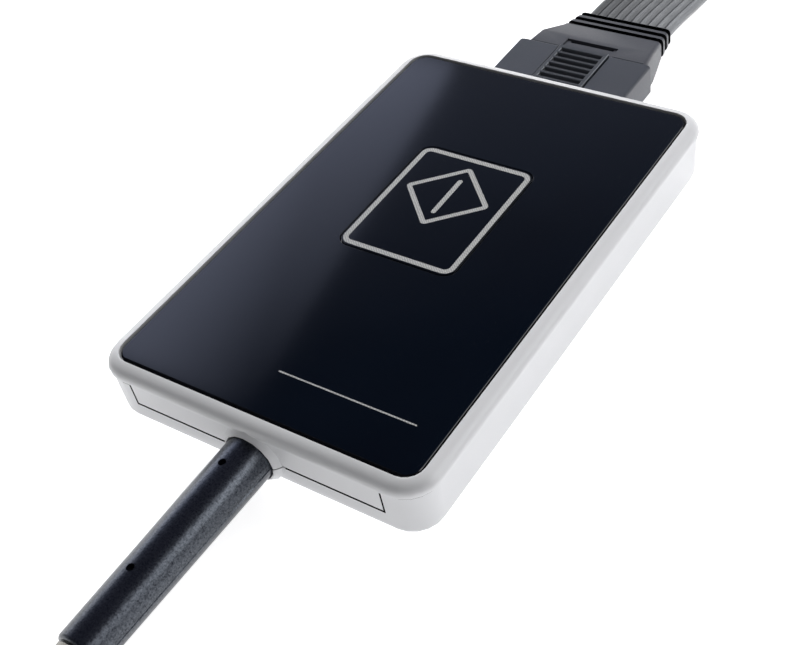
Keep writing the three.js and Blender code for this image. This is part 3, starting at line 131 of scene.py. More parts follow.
class Nodes(Tree):
    """One material and its main shader."""

    def __init__(self, name):
        self.material = bpy.data.materials.new(name)
        super().__init__(self.material)
        self.shader = self.tree.nodes["Principled BSDF"]

    def set(self, **values):
        """Sets inputs of the shader; an underscore stands for a space."""
        for key, value in values.items():
            self.shader.inputs[key.replace("_", " ")].default_value = value

    def place(self, scale=(1, 1, 1)):
        coordinates = self.add("ShaderNodeTexCoord")
        mapping = self.add("ShaderNodeMapping", Scale=scale)
        self.join(coordinates.outputs["Object"], mapping.inputs["Vector"])
        return mapping.outputs["Vector"]

    def noise(self, size_mm, detail=3, roughness=0.5, where=None):
        texture = self.add("ShaderNodeTexNoise", Scale=1 / (size_mm * MM), Detail=detail, Roughness=roughness)
        self.join(where or self.place(), texture.inputs["Vector"])
        return texture.outputs["Fac"]

    def range(self, factor, low, high):
        """Spreads a noise, which mostly lies between a quarter and three quarters, from low to high."""
        node = self.add("ShaderNodeMapRange", **{"From Min": 0.25, "From Max": 0.75, "To Min": low, "To Max": high})
        self.join(factor, node.inputs["Value"])
        return node.outputs["Result"]

    def colour(self, source):
        self.join(source, self.shader.inputs["Base Color"])

    def rough(self, factor, low, high):
        self.join(self.range(factor, low, high), self.shader.inputs["Roughness"])

    def bump(self, height, depth_mm, strength=1.0):
        bump = self.add("ShaderNodeBump", Strength=strength, Distance=depth_mm * MM)
        self.join(height, bump.inputs["Height"])
        self.join(bump.outputs["Normal"], self.shader.inputs["Normal"])


def shade(rgb, factor):
    return tuple(min(1, c * factor) for c in rgb)


def plastic(name, rgb, rough=0.5, grain_mm=0.35, depth_mm=0.012, tone=0.06):
    """Moulded plastic: slow colour drift, fine eroded grain in the bump and in the gloss."""
    m = Nodes(name)
    drift = m.noise(14, 2)
    grain = m.noise(grain_mm, 4, 0.65)
    m.colour(m.ramp(drift, shade(rgb, 1 - tone), shade(rgb, 1 + tone)))
    m.rough(grain, rough - 0.06, rough + 0.06)
    m.bump(grain, depth_mm)
    return m.material


def plated_metal(name, rgb):
    """Bright plating over metal that was drawn along Y."""
    m = Nodes(name)
    grain = m.noise(0.4, 4, 0.6, m.place((1, 12, 1)))
    blotch = m.noise(4, 3)
    m.set(Metallic=1)
    m.colour(m.ramp(blotch, shade(rgb, 0.9), shade(rgb, 1.05)))
    m.rough(grain, 0.20, 0.38)
    m.bump(grain, 0.004)
    return m.material


def panel_material():
    """A back-printed clear panel: deep blue-black under a hard gloss, with the faintest orange peel and dust."""
    m = Nodes("panel_gloss")
    deep = m.noise(30, 2)
    m.colour(m.ramp(deep, (0.0016, 0.0030, 0.0068), (0.0024, 0.0044, 0.0095)))
    peel = m.noise(5, 2)
    dust = m.noise(0.25, 2, 0.8)
    m.rough(dust, 0.06, 0.09)
    m.set(IOR=1.49)
    m.bump(peel, 0.0015)
    return m.material


def silver_print():
    """Silver ink laid down in a fine diagonal screen of dots."""
    m = Nodes("silver_print")
    where = m.place((2600, 2600, 0))  # dots to the metre
    where.node.inputs["Rotation"].default_value = (0, 0, math.radians(45))
    dots = m.add("ShaderNodeTexVoronoi", Scale=1.0, Randomness=0.15)
    m.join(where, dots.inputs["Vector"])
    m.colour(m.ramp(dots.outputs["Distance"], (0.52, 0.52, 0.50), (0.20, 0.20, 0.21), 0.2, 0.6))
    m.set(Metallic=0.15, Roughness=0.38)
    m.bump(dots.outputs["Distance"], 0.01, 0.5)
    return m.material


def sleeve_material():
    """Spark-eroded dark moulding: the rims of its pits catch the light as specks."""
    m = Nodes("sleeve_spark")
    specks = m.noise(0.36, 2, 0.8)
    drift = m.noise(9, 2)
    m.colour(m.ramp(drift, (0.0070, 0.0080, 0.0140), (0.0095, 0.0105, 0.0175)))
    m.rough(specks, 0.26, 0.36)
    glint = m.ramp(specks, (0.28, 0.28, 0.28), (0.94, 0.94, 0.94), 0.36, 0.64)
    m.join(glint, m.shader.inputs["Specular IOR Level"])
    m.set(IOR=1.62, Specular_Tint=(0.80, 0.88, 1.0, 1))
    m.bump(specks, 0.008, 0.5)
    return m.material


def jacket_material(name, rgb, rough=0.5):
    """Extruded cable jacket: smooth, slightly dusty, with a soft sheen."""
    m = Nodes(name)
    dust = m.noise(2.5, 4, 0.6)
    skin = m.noise(0.5, 3, 0.5)
    m.colour(m.ramp(dust, shade(rgb, 0.9), shade(rgb, 1.08)))
    m.rough(skin, rough - 0.08, rough + 0.08)
    m.bump(skin, 0.01)
    return m.material


def board_material():
    """Green solder mask over etched tracks."""
    m = Nodes("board_mask")
    pattern = {
        "Scale": 1 / (3.2 * MM),
        "Mortar Size": 0.06,
        "Color1": (0.012, 0.075, 0.035, 1),
        "Color2": (0.014, 0.09, 0.042, 1),
        "Mortar": (0.03, 0.17, 0.08, 1),
    }
    tracks = m.add("ShaderNodeTexBrick", **pattern)
    m.join(m.place(), tracks.inputs["Vector"])
    m.colour(tracks.outputs["Color"])
    m.rough(m.noise(0.6), 0.28, 0.42)
    m.bump(tracks.outputs["Fac"], 0.02)
    return m.material


def painted_shade_material():
    """Painted shade for the narrow gaps and the strips beside them, with a little dust in it."""
    m = Nodes("seam_shade")
    dust = m.noise(0.6, 3)
    m.colour(m.ramp(dust, (0.0015, 0.0016, 0.0024), (0.0055, 0.006, 0.008)))
    m.rough(dust, 0.85, 1.0)
    m.set(Specular_IOR_Level=0.03)
    m.bump(dust, 0.01)
    return m.material


LOOK = {
    # painted shade: the dark look for gaps, grooves and the strips beside them
    "seam": painted_shade_material(),
    "shell": plastic("shell_plastic", (0.655, 0.66, 0.68), rough=0.36, depth_mm=0.006, tone=0.012),
    # painted highlight: a paler colour on the rim's inner edge, where it catches the light
    "rim_highlight": plastic("rim_painted_highlight", (0.86, 0.86, 0.84), rough=0.3, depth_mm=0.004, tone=0.01),
    "panel": panel_material(),
    "print": silver_print(),
    "sleeve": sleeve_material(),
    "collar": plastic("collar_plastic", (0.36, 0.35, 0.32), rough=0.5, tone=0.05),
    "cable": jacket_material("usb_jacket", (0.36, 0.355, 0.335)),
    "usb_moulding": plastic("usb_plug_plastic", (0.33, 0.325, 0.305), rough=0.5, tone=0.05),
    "slate": plastic("plug_slate_plastic", (0.044, 0.049, 0.064), rough=0.4, depth_mm=0.008, tone=0.05),
    "hood": plastic("hood_slate_plastic", (0.056, 0.059, 0.072), rough=0.42, depth_mm=0.01, tone=0.06),
    "slider": plastic("slider_plastic", (0.045, 0.050, 0.062), rough=0.38, depth_mm=0.006, tone=0.05),
    # painted highlight: a lighter colour on the slider's chamfers, where they catch the key light
    "edge": plastic("slider_painted_highlight", (0.17, 0.18, 0.20), rough=0.36, depth_mm=0.006, tone=0.05),
    "grip": plastic("grip_plastic", (0.07, 0.074, 0.082), rough=0.5, tone=0.08),
    "rubber": plastic("foot_rubber", (0.012, 0.012, 0.013), rough=0.8, depth_mm=0.02, tone=0.15),
    "black": plastic("insulator_plastic", (0.012, 0.012, 0.013), rough=0.5, tone=0.1),
    "chip": plastic("chip_epoxy", (0.014, 0.014, 0.016), rough=0.6, grain_mm=0.15, tone=0.1),
    "steel": plated_metal("plated_steel", (0.62, 0.63, 0.64)),
    "tie": plastic("tie_plastic", (0.014, 0.014, 0.015), rough=0.55, grain_mm=0.8, depth_mm=0.03, tone=0.1),
    "board": board_material(),
}


# Pieces

SHARP = math.radians(32)  # edges that bend more than this are rounded
SMOOTH = math.radians(38)  # edges that bend more than this stay crisp in the shading


def mount(obj, body, replaced):
    """Puts a piece into the scene, tells what it rides on and hides the solids it stands for."""
    scene.collection.objects.link(obj)
    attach(obj, body)
    if replaced:
        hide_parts(*replaced)
    return obj


def link(name, mesh, material, body, replaced=()):
    mesh.materials.clear()
    mesh.materials.append(material)
    return mount(bpy.data.objects.new(name, mesh), body, replaced)


def to_mesh(bm, name):
    mesh = bpy.data.meshes.new(name)
    bm.to_mesh(mesh)
    bm.free()
    return mesh


def finish_edges(bm, width_mm, segments):
    """Rounds the sharp edges, as a mould does, and smooths all that is left."""
    bmesh.ops.remove_doubles(bm, verts=bm.verts, dist=2e-6)
    bmesh.ops.dissolve_limit(bm, angle_limit=math.radians(0.8), verts=bm.verts, edges=bm.edges)
    sharp = [e for e in bm.edges if len(e.link_faces) == 2 and e.calc_face_angle(0) > SHARP]
    if sharp:
        bmesh.ops.bevel(
            bm,
            geom=sharp,
            offset=width_mm * MM,
            segments=segments,
            profile=0.5,
            affect="EDGES",
            clamp_overlap=True,
        )
    for face in bm.faces:
        face.smooth = True


def settle(obj):
    """Smooth shading that stops at the edges."""
    obj.data.set_sharp_from_angle(angle=SMOOTH)
    weighted = obj.modifiers.new("normals", "WEIGHTED_NORMAL")
    weighted.keep_sharp = True
    weighted.weight = 60


def end_of(node, pick):
    """The least or the greatest Y of a solid, in millimetres."""
    return pick(vertex.co.y for vertex in nodes[node].data.vertices) / MM


CHAMFER_SHADE = PANEL_Z - 0.13  # below this the panel's chamfer gets painted shade for the gap
PANEL_FRONT = end_of("front_panel", min) + 0.5  # and before this its front edge gets painted shade too
LOWER_TOP = 10.075  # the lower shell's top edge, under the rolled rim
APRON_GAP = 5.15  # and its edge under the aprons
APRON_SHADE = 0.22  # how deep the painted shade reaches below it
APRON_START = 6.2  # the aprons' ends beside the sleeve
APRON_END = 25.25  # and near the corners
END_SHADE = 0.1  # how far the painted shade reaches beyond those
APRON_FOOT = 5  # height of the aprons' lower ends
CORNER_START = -46.5  # the front corners lie before this
CORNER_SHADE = {"left": 0.28, "right": 0.10}  # how deep the painted shade under the rim reaches there
UNDER_APRON = (4.95, 5.55)  # heights of the gap under the aprons
UNDER_RIM = (9.8, 10.75)  # and of the one under the rim
BESIDE_APRON = (24.6, 25.7)  # places of the gaps at the aprons' ends
WALL_HEIGHTS = (APRON_FOOT, 10.5)
WALL = (30.9, 48.9)  # the seams are seen only beyond this half width or half length
RIM_EDGE = (30.35, 48.35)  # the middle of the rim's inner edge
RIM_EDGE_HALF = 0.16  # half its width
RIM_EDGE_BOTTOM = 12.68
RIM_CORNER = (27, 45)  # where its round corners turn
RIM_CORNER_R = 3.51  # and how far out they reach
NECK_GROOVE_HALF = 0.5
TOUCH = 0.01
UPWARD = (0, 0, 1)
SIDEWAYS = (1, 0, 0)
# cuts that bound the strips of painted shade
CUTS = {
    "lower_shell": (
        ((0, 0, LOWER_TOP - CORNER_SHADE["left"]), UPWARD),
        ((0, 0, LOWER_TOP - CORNER_SHADE["right"]), UPWARD),
        ((0, 0, APRON_GAP - APRON_SHADE), UPWARD),
        ((APRON_END + END_SHADE, 0, 0), SIDEWAYS),
        ((-APRON_END - END_SHADE, 0, 0), SIDEWAYS),
        ((APRON_START, 0, 0), SIDEWAYS),
        ((-APRON_START, 0, 0), SIDEWAYS),
    ),
    "front_panel": (((0, 0, CHAMFER_SHADE), UPWARD), ((0, PANEL_FRONT, 0), (0, 1, 0))),
    "start_key": (((0, 0, CHAMFER_SHADE), UPWARD),),
}
NECK_END = end_of("plug_hood", max)
NECK_GROOVES = tuple(NECK_END - depth for depth in (0.9, 2.6, 4.3))


def between(value, limits):
    return limits[0] < value < limits[1]


def in_shell_seam(middle, normal):
    """The faces inside the gaps round the aprons and under the rolled rim, and strips beside them: all get painted
    shade.
    """
    x, z = abs(middle.x), middle.z
    level = abs(normal.z) > 0.3 and x > APRON_START and (between(z, UNDER_APRON) or between(z, UNDER_RIM))
    side = abs(normal.x) > 0.6 and between(x, BESIDE_APRON) and between(z, WALL_HEIGHTS)
    below = APRON_START < x < APRON_END and APRON_GAP - APRON_SHADE < z < APRON_GAP + TOUCH
    beside = APRON_END - TOUCH < x < APRON_END + END_SHADE and APRON_FOOT < z < LOWER_TOP
    depth = CORNER_SHADE["left" if middle.x < 0 else "right"]
    corner = middle.y < CORNER_START and LOWER_TOP - depth < z < LOWER_TOP + TOUCH and x > APRON_END
    outside = x > WALL[0] or abs(middle.y) > WALL[1]
    return (level or side or below or beside) and outside or corner


def in_panel_gap(middle, normal):
    """The walls of the gaps round the panel and the key, the lower part of the chamfer and the panel's front edge: all
    get painted shade.
    """
    front = abs(normal.z) < 0.9 and (middle.z < CHAMFER_SHADE or normal.y < -0.3)
    return abs(normal.z) < 0.35 or front or middle.y < PANEL_FRONT


def on_rim_edge(middle, normal):
    """The rounded inner edge of the rim, which looks inwards; it gets a painted highlight."""
    x, y = abs(middle.x), abs(middle.y)
    along = min(abs(x - RIM_EDGE[0]), abs(y - RIM_EDGE[1])) < RIM_EDGE_HALF
    turning = math.hypot(x - RIM_CORNER[0], y - RIM_CORNER[1]) < RIM_CORNER_R
    inwards = normal.x * middle.x + normal.y * middle.y < 0
    return middle.z > RIM_EDGE_BOTTOM and 0.2 < normal.z < 0.97 and (along or turning) and inwards


# painted shade in the neck's grooves
def in_neck_groove(middle, _):
    return any(abs(middle.y - groove) < NECK_GROOVE_HALF for groove in NECK_GROOVES)


# painted highlight on the slider's chamfers
def on_slider_edge(_, normal):
    return normal.z > 0.3 and abs(normal.x) > 0.5


# paints shade or a highlight on the faces that the rule picks, with a second material
def shade_faces(mesh, rule, look="seam"):
    slot = len(mesh.materials)
    mesh.materials.append(LOOK[look])
    for face in mesh.polygons:
        if rule(face.center / MM, face.normal):
            face.material_index = slot


def refine(node, look, width_mm, shaded=None, segments=2, shade_look="seam"):
    """The piece in its CAD place and shape, with rounded edges and its own material, and painted shade or a painted
    highlight on the faces that shaded picks.
    """
    body = nodes[node]["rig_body"]
    bm = bmesh.new()
    bm.from_mesh(nodes[node].data)
    finish_edges(bm, width_mm, segments)
    if node == "lower_shell":  # its front wall is one bent outline, which the cuts would miss
        bmesh.ops.triangulate(bm, faces=[face for face in bm.faces if len(face.verts) > 4])
    for place, across in CUTS.get(node, ()):
        parts = [*bm.verts, *bm.edges, *bm.faces]
        bmesh.ops.bisect_plane(bm, geom=parts, plane_co=[c * MM for c in place], plane_no=across)
    name = node + "_finished"
    mesh = to_mesh(bm, name)
    obj = link(name, mesh, LOOK[look], body, [node])
    if shaded:
        shade_faces(mesh, shaded, shade_look)
    settle(obj)
    return obj


# Cords: the routes of the solids, in millimetres

GAP = 0.3  # between the ends of the solids
BASE = 1.4  # height of the lowest layer's underside
SLEEVE_ROOT = Vector((0, -51.4, 5.6))
SLEEVE_CAD_LENGTH = 41.3
SLEEVE_WAY = Vector((-0.8, -SLEEVE_CAD_LENGTH, -1.15)).normalized()
COLLAR_END = 47.2  # along the sleeve
USB_D = 4.5
USB_PITCH = 5.0
COIL = Vector((0.0, -156.0, 0.0))
COIL_R = 32.0
LAYERS = 4
LAYER_TURNS = 2.5
ENTRY = 60.0  # where the cable reaches the coil, in degrees
FREE_BEND = 20
TAIL_BEND = 18.5
TAIL_TURN = 15  # where the tail bends into the coil, in degrees
USB_PLUG_Z = BASE + LAYERS * USB_PITCH - 0.5 + GAP + 4  # half the plug's height above the coil
LEADS = 10
LEAD_D = 2.0
LEAD_PITCH = 1.95
RIBBON_W = (LEADS - 1) * LEAD_PITCH + LEAD_D
RIBBON_Z = 4.8
RIBBON_START = 82.35
RIBBON_STEPS = 36
RIBBON_DRIFT = 1.5
ROLL = Vector((2.0, 157.0, BASE + RIBBON_W / 2))
ROLL_CORE = 14.0
ROLL_PITCH = 5.0
ROLL_TURNS = 3
ROLL_R = ROLL_CORE + ROLL_PITCH * ROLL_TURNS
DRIFT = (RIBBON_START + 2.3, ROLL.y - 53)  # where the ribbon drifts to the side
TWIST = (ROLL.y - 53, ROLL.y - 7)  # where it turns upright
SWING = (ROLL.y - 54, ROLL.y - 13)  # and where it swings over to the roll
FAN_START = ROLL.y + 11
FAN_END = ROLL.y + 61
FAN_PITCH = 6.4
FAN_STEPS = 20
LEAD_PLUG_Z = 3.0
TURN_STEPS = 48
FOLD_STEPS = 16


def way(angle):
    return Vector((math.cos(math.radians(angle)), math.sin(math.radians(angle)), 0))


def smooth(share):
    return share * share * (3 - 2 * share)


def share_between(value, start, end):
    return smooth(min(max((value - start) / (end - start), 0), 1))


def spline_through(points, per_span=6):
    """More points on a centripetal curve through the given ones."""
    points = [Vector(p) for p in points]
    padded = [2 * points[0] - points[1], *points, 2 * points[-1] - points[-2]]
    result = []
    for i in range(1, len(padded) - 2):
        p0, p1, p2, p3 = padded[i - 1 : i + 3]
        t0 = 0.0
        t1 = t0 + max((p1 - p0).length, 1e-9) ** 0.5
        t2 = t1 + max((p2 - p1).length, 1e-9) ** 0.5
        t3 = t2 + max((p3 - p2).length, 1e-9) ** 0.5
        for k in range(per_span):
            t = t1 + (t2 - t1) * k / per_span
            a1 = p0 * ((t1 - t) / (t1 - t0)) + p1 * ((t - t0) / (t1 - t0))
            a2 = p1 * ((t2 - t) / (t2 - t1)) + p2 * ((t - t1) / (t2 - t1))
            a3 = p2 * ((t3 - t) / (t3 - t2)) + p3 * ((t - t2) / (t3 - t2))
            b1 = a1 * ((t2 - t) / (t2 - t0)) + a2 * ((t - t0) / (t2 - t0))
            b2 = a2 * ((t3 - t) / (t3 - t1)) + a3 * ((t - t1) / (t3 - t1))
            result.append(b1 * ((t2 - t) / (t2 - t1)) + b2 * ((t - t1) / (t2 - t1)))
    result.append(points[-1])
    return result


def arc(centre, radius, start, end, steps):
    return [centre + way(start + (end - start) * i / steps) * radius for i in range(steps + 1)]


def curve_piece(name, points, diameter, material, body, replaced, sides):
    data = bpy.data.curves.new(name, "CURVE")
    data.dimensions = "3D"
    data.bevel_depth = diameter / 2 * MM
    data.bevel_resolution = sides
    data.use_fill_caps = True
    spline = data.splines.new("POLY")
    spline.points.add(len(points) - 1)
    for place, point in zip(spline.points, points):
        place.co = (*(point * MM), 1)
    spline.use_smooth = True
    data.materials.append(material)
    return mount(bpy.data.objects.new(name, data), body, replaced)


def coil_points():
    points = []
    for i in range(int(LAYERS * LAYER_TURNS * TURN_STEPS) + 1):
        turn = i / TURN_STEPS
        layer = min(int(turn // LAYER_TURNS), LAYERS - 1)
        into = turn - layer * LAYER_TURNS
        inward = into if layer % 2 == 0 else LAYER_TURNS - into
        seam = math.floor(turn / LAYER_TURNS + 0.5)
        climbing = 0 < seam < LAYERS
        past = min(max(2 * (turn - seam * LAYER_TURNS) + 0.5, 0), 1)
        level = seam - 1 + smooth(past) if climbing else layer
        point = COIL + way(ENTRY - 360 * turn) * (COIL_R - inward * USB_PITCH)
        point.z = BASE + USB_D / 2 + level * USB_PITCH
        points.append(point)
    return points


def free_points(end, heading):
    """From the collar straight on, then round one bend to the coil."""
    start = SLEEVE_ROOT + SLEEVE_WAY * (COLLAR_END + GAP)
    entry = math.radians(ENTRY)
    straight = (end.x - start.x - FREE_BEND * (1 - math.cos(entry))) / heading.x
    bend_y = end.y - straight * heading.y + FREE_BEND * math.sin(entry)
    bend = arc(Vector((start.x + FREE_BEND, bend_y, 0)), FREE_BEND, 180, 180 + ENTRY, 6)
    points = [start, Vector((start.x, (start.y + bend_y) / 2, 0)), *bend, end]
    for point in points:
        share = smooth((start.y - point.y) / (start.y - end.y))
        point.z = start.z + share * (end.z - start.z)
    return points


def tail_points(leave, heading):
    """From the coil's end inwards and up to the plug that lies over it."""
    hub = COIL + way(TAIL_TURN) * (COIL_R - TAIL_BEND)
    plug = hub + way(-90) * TAIL_BEND
    points = [
        leave,
        leave + heading * (USB_D / 2),
        *arc(COIL, COIL_R, ENTRY - 30, TAIL_TURN, 1),
        *arc(hub, TAIL_BEND, TAIL_TURN, -90, 6)[1:-1],
        Vector((plug.x + GAP + USB_D / 2, plug.y, 0)),
        Vector((plug.x + GAP, plug.y, 0)),
    ]
    top = BASE + USB_D / 2 + (LAYERS - 1) * USB_PITCH
    for i, point in enumerate(points):
        point.z = top + share_between(i / (len(points) - 1), 0, 0.75) * (USB_PLUG_Z - top)
    return points


def usb_route():
    coil = coil_points()
    heading = way(ENTRY - 90)
    step = heading * (USB_D + GAP)
    free = free_points(coil[0] - step, heading)
    tail = tail_points(coil[-1] + step, heading)
    return [*spline_through(free), *coil, *spline_through(tail)]


usb_line = usb_route()
usb_cord = curve_piece(
    "usb_cord",
    usb_line,
    USB_D,
    LOOK["cable"],
    "recorder",
    ["usb_cable", "usb_cable_coil", "usb_cable_tail"],
    sides=5,
)


def lead_offset(lead):
    return (lead - (LEADS - 1) / 2) * LEAD_PITCH


def ribbon_centre():
    """The ribbon's middle line and the way its width points, from the plug to the roll."""
    end = ROLL.y - LEAD_D - GAP
    points = []
    sides = []
    for i in range(RIBBON_STEPS + 1):
        y = RIBBON_START + (end - RIBBON_START) * i / RIBBON_STEPS
        twist = share_between(y, *TWIST) * math.pi / 2
        drift = share_between(y, *DRIFT) * RIBBON_DRIFT
        x = drift + share_between(y, *SWING) * (ROLL.x - ROLL_R - RIBBON_DRIFT)
        points.append(Vector((x, y, RIBBON_Z + math.sin(twist) * (ROLL.z - RIBBON_Z))))
        sides.append(Vector((math.cos(twist), 0, math.sin(twist))))
    for i in range(RIBBON_STEPS + 1):
        ahead = (points[min(i + 1, RIBBON_STEPS)] - points[max(i - 1, 0)]).normalized()
        sides[i] = (sides[i] - ahead * sides[i].dot(ahead)).normalized()
    return points, sides


def roll_points():
    """Inwards, round the fold in the core and out again between its own turns."""

    def place(angle, radius, hub=0.0):
        spot = way(180 - angle) * radius
        return Vector((ROLL.x - hub + spot.x, ROLL.y + spot.y, ROLL.z))

    count = ROLL_TURNS * TURN_STEPS
    fold = ROLL_CORE / 2
    inwards = [(-360 * i / TURN_STEPS, ROLL_CORE + ROLL_PITCH * i / TURN_STEPS) for i in range(count, -1, -1)]
    outwards = [(180 - 360 * i / TURN_STEPS, ROLL_CORE + ROLL_PITCH * i / TURN_STEPS) for i in range(count + 1)]
    return [
        *(place(*spot) for spot in inwards),
        *(place(180 * i / FOLD_STEPS, fold, fold) for i in range(1, FOLD_STEPS + 1)),
        *(place(-180 * i / FOLD_STEPS, fold, -fold) for i in range(1, FOLD_STEPS)),
        *(place(*spot) for spot in outwards),
    ]


def fan_points(lead):
    x = ROLL.x + ROLL_R
    z = ROLL.z + lead_offset(lead)
    to_x = ((LEADS - 1) / 2 - lead) * FAN_PITCH
    points = []
    for i in range(FAN_STEPS):
        share = smooth(i / FAN_STEPS)
        y = FAN_START + (FAN_END - FAN_START) * i / FAN_STEPS
        points.append(Vector((x + share * (to_x - x), y, z + share * (LEAD_PLUG_Z - z))))
    return [*points, Vector((to_x, FAN_END - GAP, LEAD_PLUG_Z))]


def lead_route(lead):
    centre, sides = ribbon_centre()
    offset = lead_offset(lead)
    flat = [p + s * offset for p, s in zip(centre, sides)]
    rolled = [p + Vector((0, 0, offset)) for p in roll_points()]
    return [*flat, *rolled, *fan_points(lead)]


def lead_piece(lead, line):
    replaced = ["ribbon_cable", "ribbon_roll", "lead_fan"] if lead == 0 else []
    tone = shade((0.145, 0.15, 0.16), 0.7 + 0.11 * lead)  # painted light: they get lighter to the right, standing in for the light on the ribbon's right side
    jacket = jacket_material(f"lead_jacket_{lead + 1}", tone, rough=0.36)
    return curve_piece(f"lead_{lead + 1}", line, LEAD_D, jacket, "patient_plug", replaced, sides=2)


lead_lines = [lead_route(lead) for lead in range(LEADS)]
lead_cords = [lead_piece(lead, line) for lead, line in enumerate(lead_lines)]


# Housing

NECK_LENGTH = 5.2
NECK_STRETCH = 1.4


def stretch_neck(hood):
    """The grooved neck reaches further down the hood."""
    for vertex in hood.data.vertices:
        depth = NECK_END - vertex.co.y / MM
        if depth < NECK_LENGTH + GAP:
            vertex.co.y = (NECK_END - depth * NECK_STRETCH) * MM


# painted shade in the shells' gaps and in strips beside them; a painted highlight on the rim's inner edge
upper = refine("upper_shell", "shell", 0.12, shaded=in_shell_seam)
# painted highlight on the rim's inner edge
shade_faces(upper.data, on_rim_edge, "rim_highlight")
refine("lower_shell", "shell", 0.12, shaded=in_shell_seam)
# painted shade on the walls and chamfers in the gaps round the panel and the key
refine("front_panel", "panel", 0.06, shaded=in_panel_gap)
refine("start_key", "panel", 0.05, shaded=in_panel_gap)
for i in range(1, 5):
    refine(f"case_screw_{i}", "steel", 0.06)
    refine(f"foot_{i}", "rubber", 0.2)
for node, look, slot in (
    ("circuit_board", "board", "board_green"),
    ("start_key_switch", "chip", "chip_black"),
    ("processor_chip", "chip", "chip_black"),
    ("converter_chip", "chip", "chip_black"),
    ("isolation_transformer", "chip", "chip_black"),
    ("clock_crystal", "steel", "steel"),
    ("input_filter_can", "steel", "steel"),
    ("supply_capacitor", "chip", "chip_black"),
    ("cable_header", "black", "insulator_black"),
    ("inner_cable", "cable", "cable_grey"),
    ("cable_clamp", "black", "insulator_black"),
    ("patient_socket_shell", "steel", "steel"),
    ("patient_socket_insert", "black", "insulator_black"),
    ("usb_coil_tie", "tie", "tie_black"),
    ("usb_plug_body", "usb_moulding", "cable_grey"),
    ("usb_plug_shell", "steel", "steel"),
    ("usb_plug_tongue", "black", "insulator_black"),
    ("plug_contact_block", "black", "insulator_black"),
    ("latch_spring", "steel", "steel"),
    ("ribbon_tie", "tie", "tie_black"),
):
    refine(node, look, 0.08)
refine("plug_shroud", "slate", 0.14, segments=1)
# painted shade darkens its neck's grooves
stretch_neck(refine("plug_hood", "hood", 0.14, segments=1, shaded=in_neck_groove))
# painted highlight on its chamfers
refine("latch_slider", "slider", 0.2, segments=1, shaded=on_slider_edge, shade_look="edge")
for lead in range(LEADS):
    refine(f"lead_plug_{lead + 1}", "grip", 0.08)


# Sleeve: turned finely, with the mould's parting grooves along its sides and two pin holes on top

SLEEVE_R = 4.4
SLEEVE_END_R = 4.0
SLEEVE_LENGTH = 40.0
SLEEVE_ROUND = 0.7  # radius of its rounded end
SLEEVE_SIDES = 56
SLEEVE_STEPS = 4
ROUND_STEPS = 5
INNER_R = 3.0  # the thinner part in the housing's wall
INNER_REACH = (-3.35, -1.0)
GROOVE_DEPTH = 0.16
GROOVE_HALF = 0.045  # half its width, in radians
PIN_HOLES = (4.85, 26.4)
PIN_HOLE_R = 0.7
PIN_HOLE_LENGTH = 2.4
PIN_HOLE_TURN = math.radians(4.5)
COLLAR_MIDDLE = 43  # along the sleeve; what lies before it belongs to the collar's near end


def sleeve_frame():
    """Columns: across, up and along the sleeve."""
    across = Vector((0, 0, 1)).cross(SLEEVE_WAY).normalized()
    return Matrix((across, SLEEVE_WAY.cross(across), SLEEVE_WAY)).transposed()


def sleeve_profile():
    """Radius and place of each ring along the sleeve."""
    straight = SLEEVE_LENGTH - SLEEVE_ROUND
    points = [(INNER_R, INNER_REACH[0]), (INNER_R, INNER_REACH[1]), (SLEEVE_R, INNER_REACH[1]), (SLEEVE_R, 0)]
    for i in range(1, SLEEVE_STEPS + 1):
        points.append((SLEEVE_R + (SLEEVE_END_R - SLEEVE_R) * i / SLEEVE_STEPS, straight * i / SLEEVE_STEPS))
    for i in range(1, ROUND_STEPS + 1):
        turn = math.radians(90 / ROUND_STEPS * i)
        points.append((SLEEVE_END_R - SLEEVE_ROUND * (1 - math.cos(turn)), straight + SLEEVE_ROUND * math.sin(turn)))
    return points


def groove_angles():
    """Angles round the sleeve, with how deep each lies in a parting groove."""
    angles = [(2 * math.pi * (i + 0.5) / SLEEVE_SIDES, 0.0) for i in range(SLEEVE_SIDES)]
    for seam in (0, math.pi):
        angles += [(seam + side * GROOVE_HALF, 0.0) for side in (-1, 1)]
        angles += [(seam + side * GROOVE_HALF / 3, GROOVE_DEPTH) for side in (-1, 1)]
    return sorted((angle % (2 * math.pi), depth) for angle, depth in angles)


def add_bands(bm, rings):
    """A row of faces between each ring and the next."""
    count = len(rings[0])
    for a, b in zip(rings, rings[1:]):
        for i in range(count):
            k = (i + 1) % count
            bm.faces.new((a[i], a[k], b[k], b[i]))


def sleeve_mesh(turn):
    bm = bmesh.new()
    rings = []
    for radius, along in sleeve_profile():
        ring = []
        for angle, depth in groove_angles():
            r = radius - (depth if along > INNER_REACH[1] else 0)
            spot = turn @ Vector((r * math.cos(angle), r * math.sin(angle), along))
            ring.append(bm.verts.new((SLEEVE_ROOT + spot) * MM))
        rings.append(ring)
    add_bands(bm, rings)
    bm.faces.new(rings[0])
    bm.faces.new(rings[-1])
    bmesh.ops.recalc_face_normals(bm, faces=bm.faces)
    for face in bm.faces:
        face.smooth = True
    return to_mesh(bm, "usb_sleeve_finished")


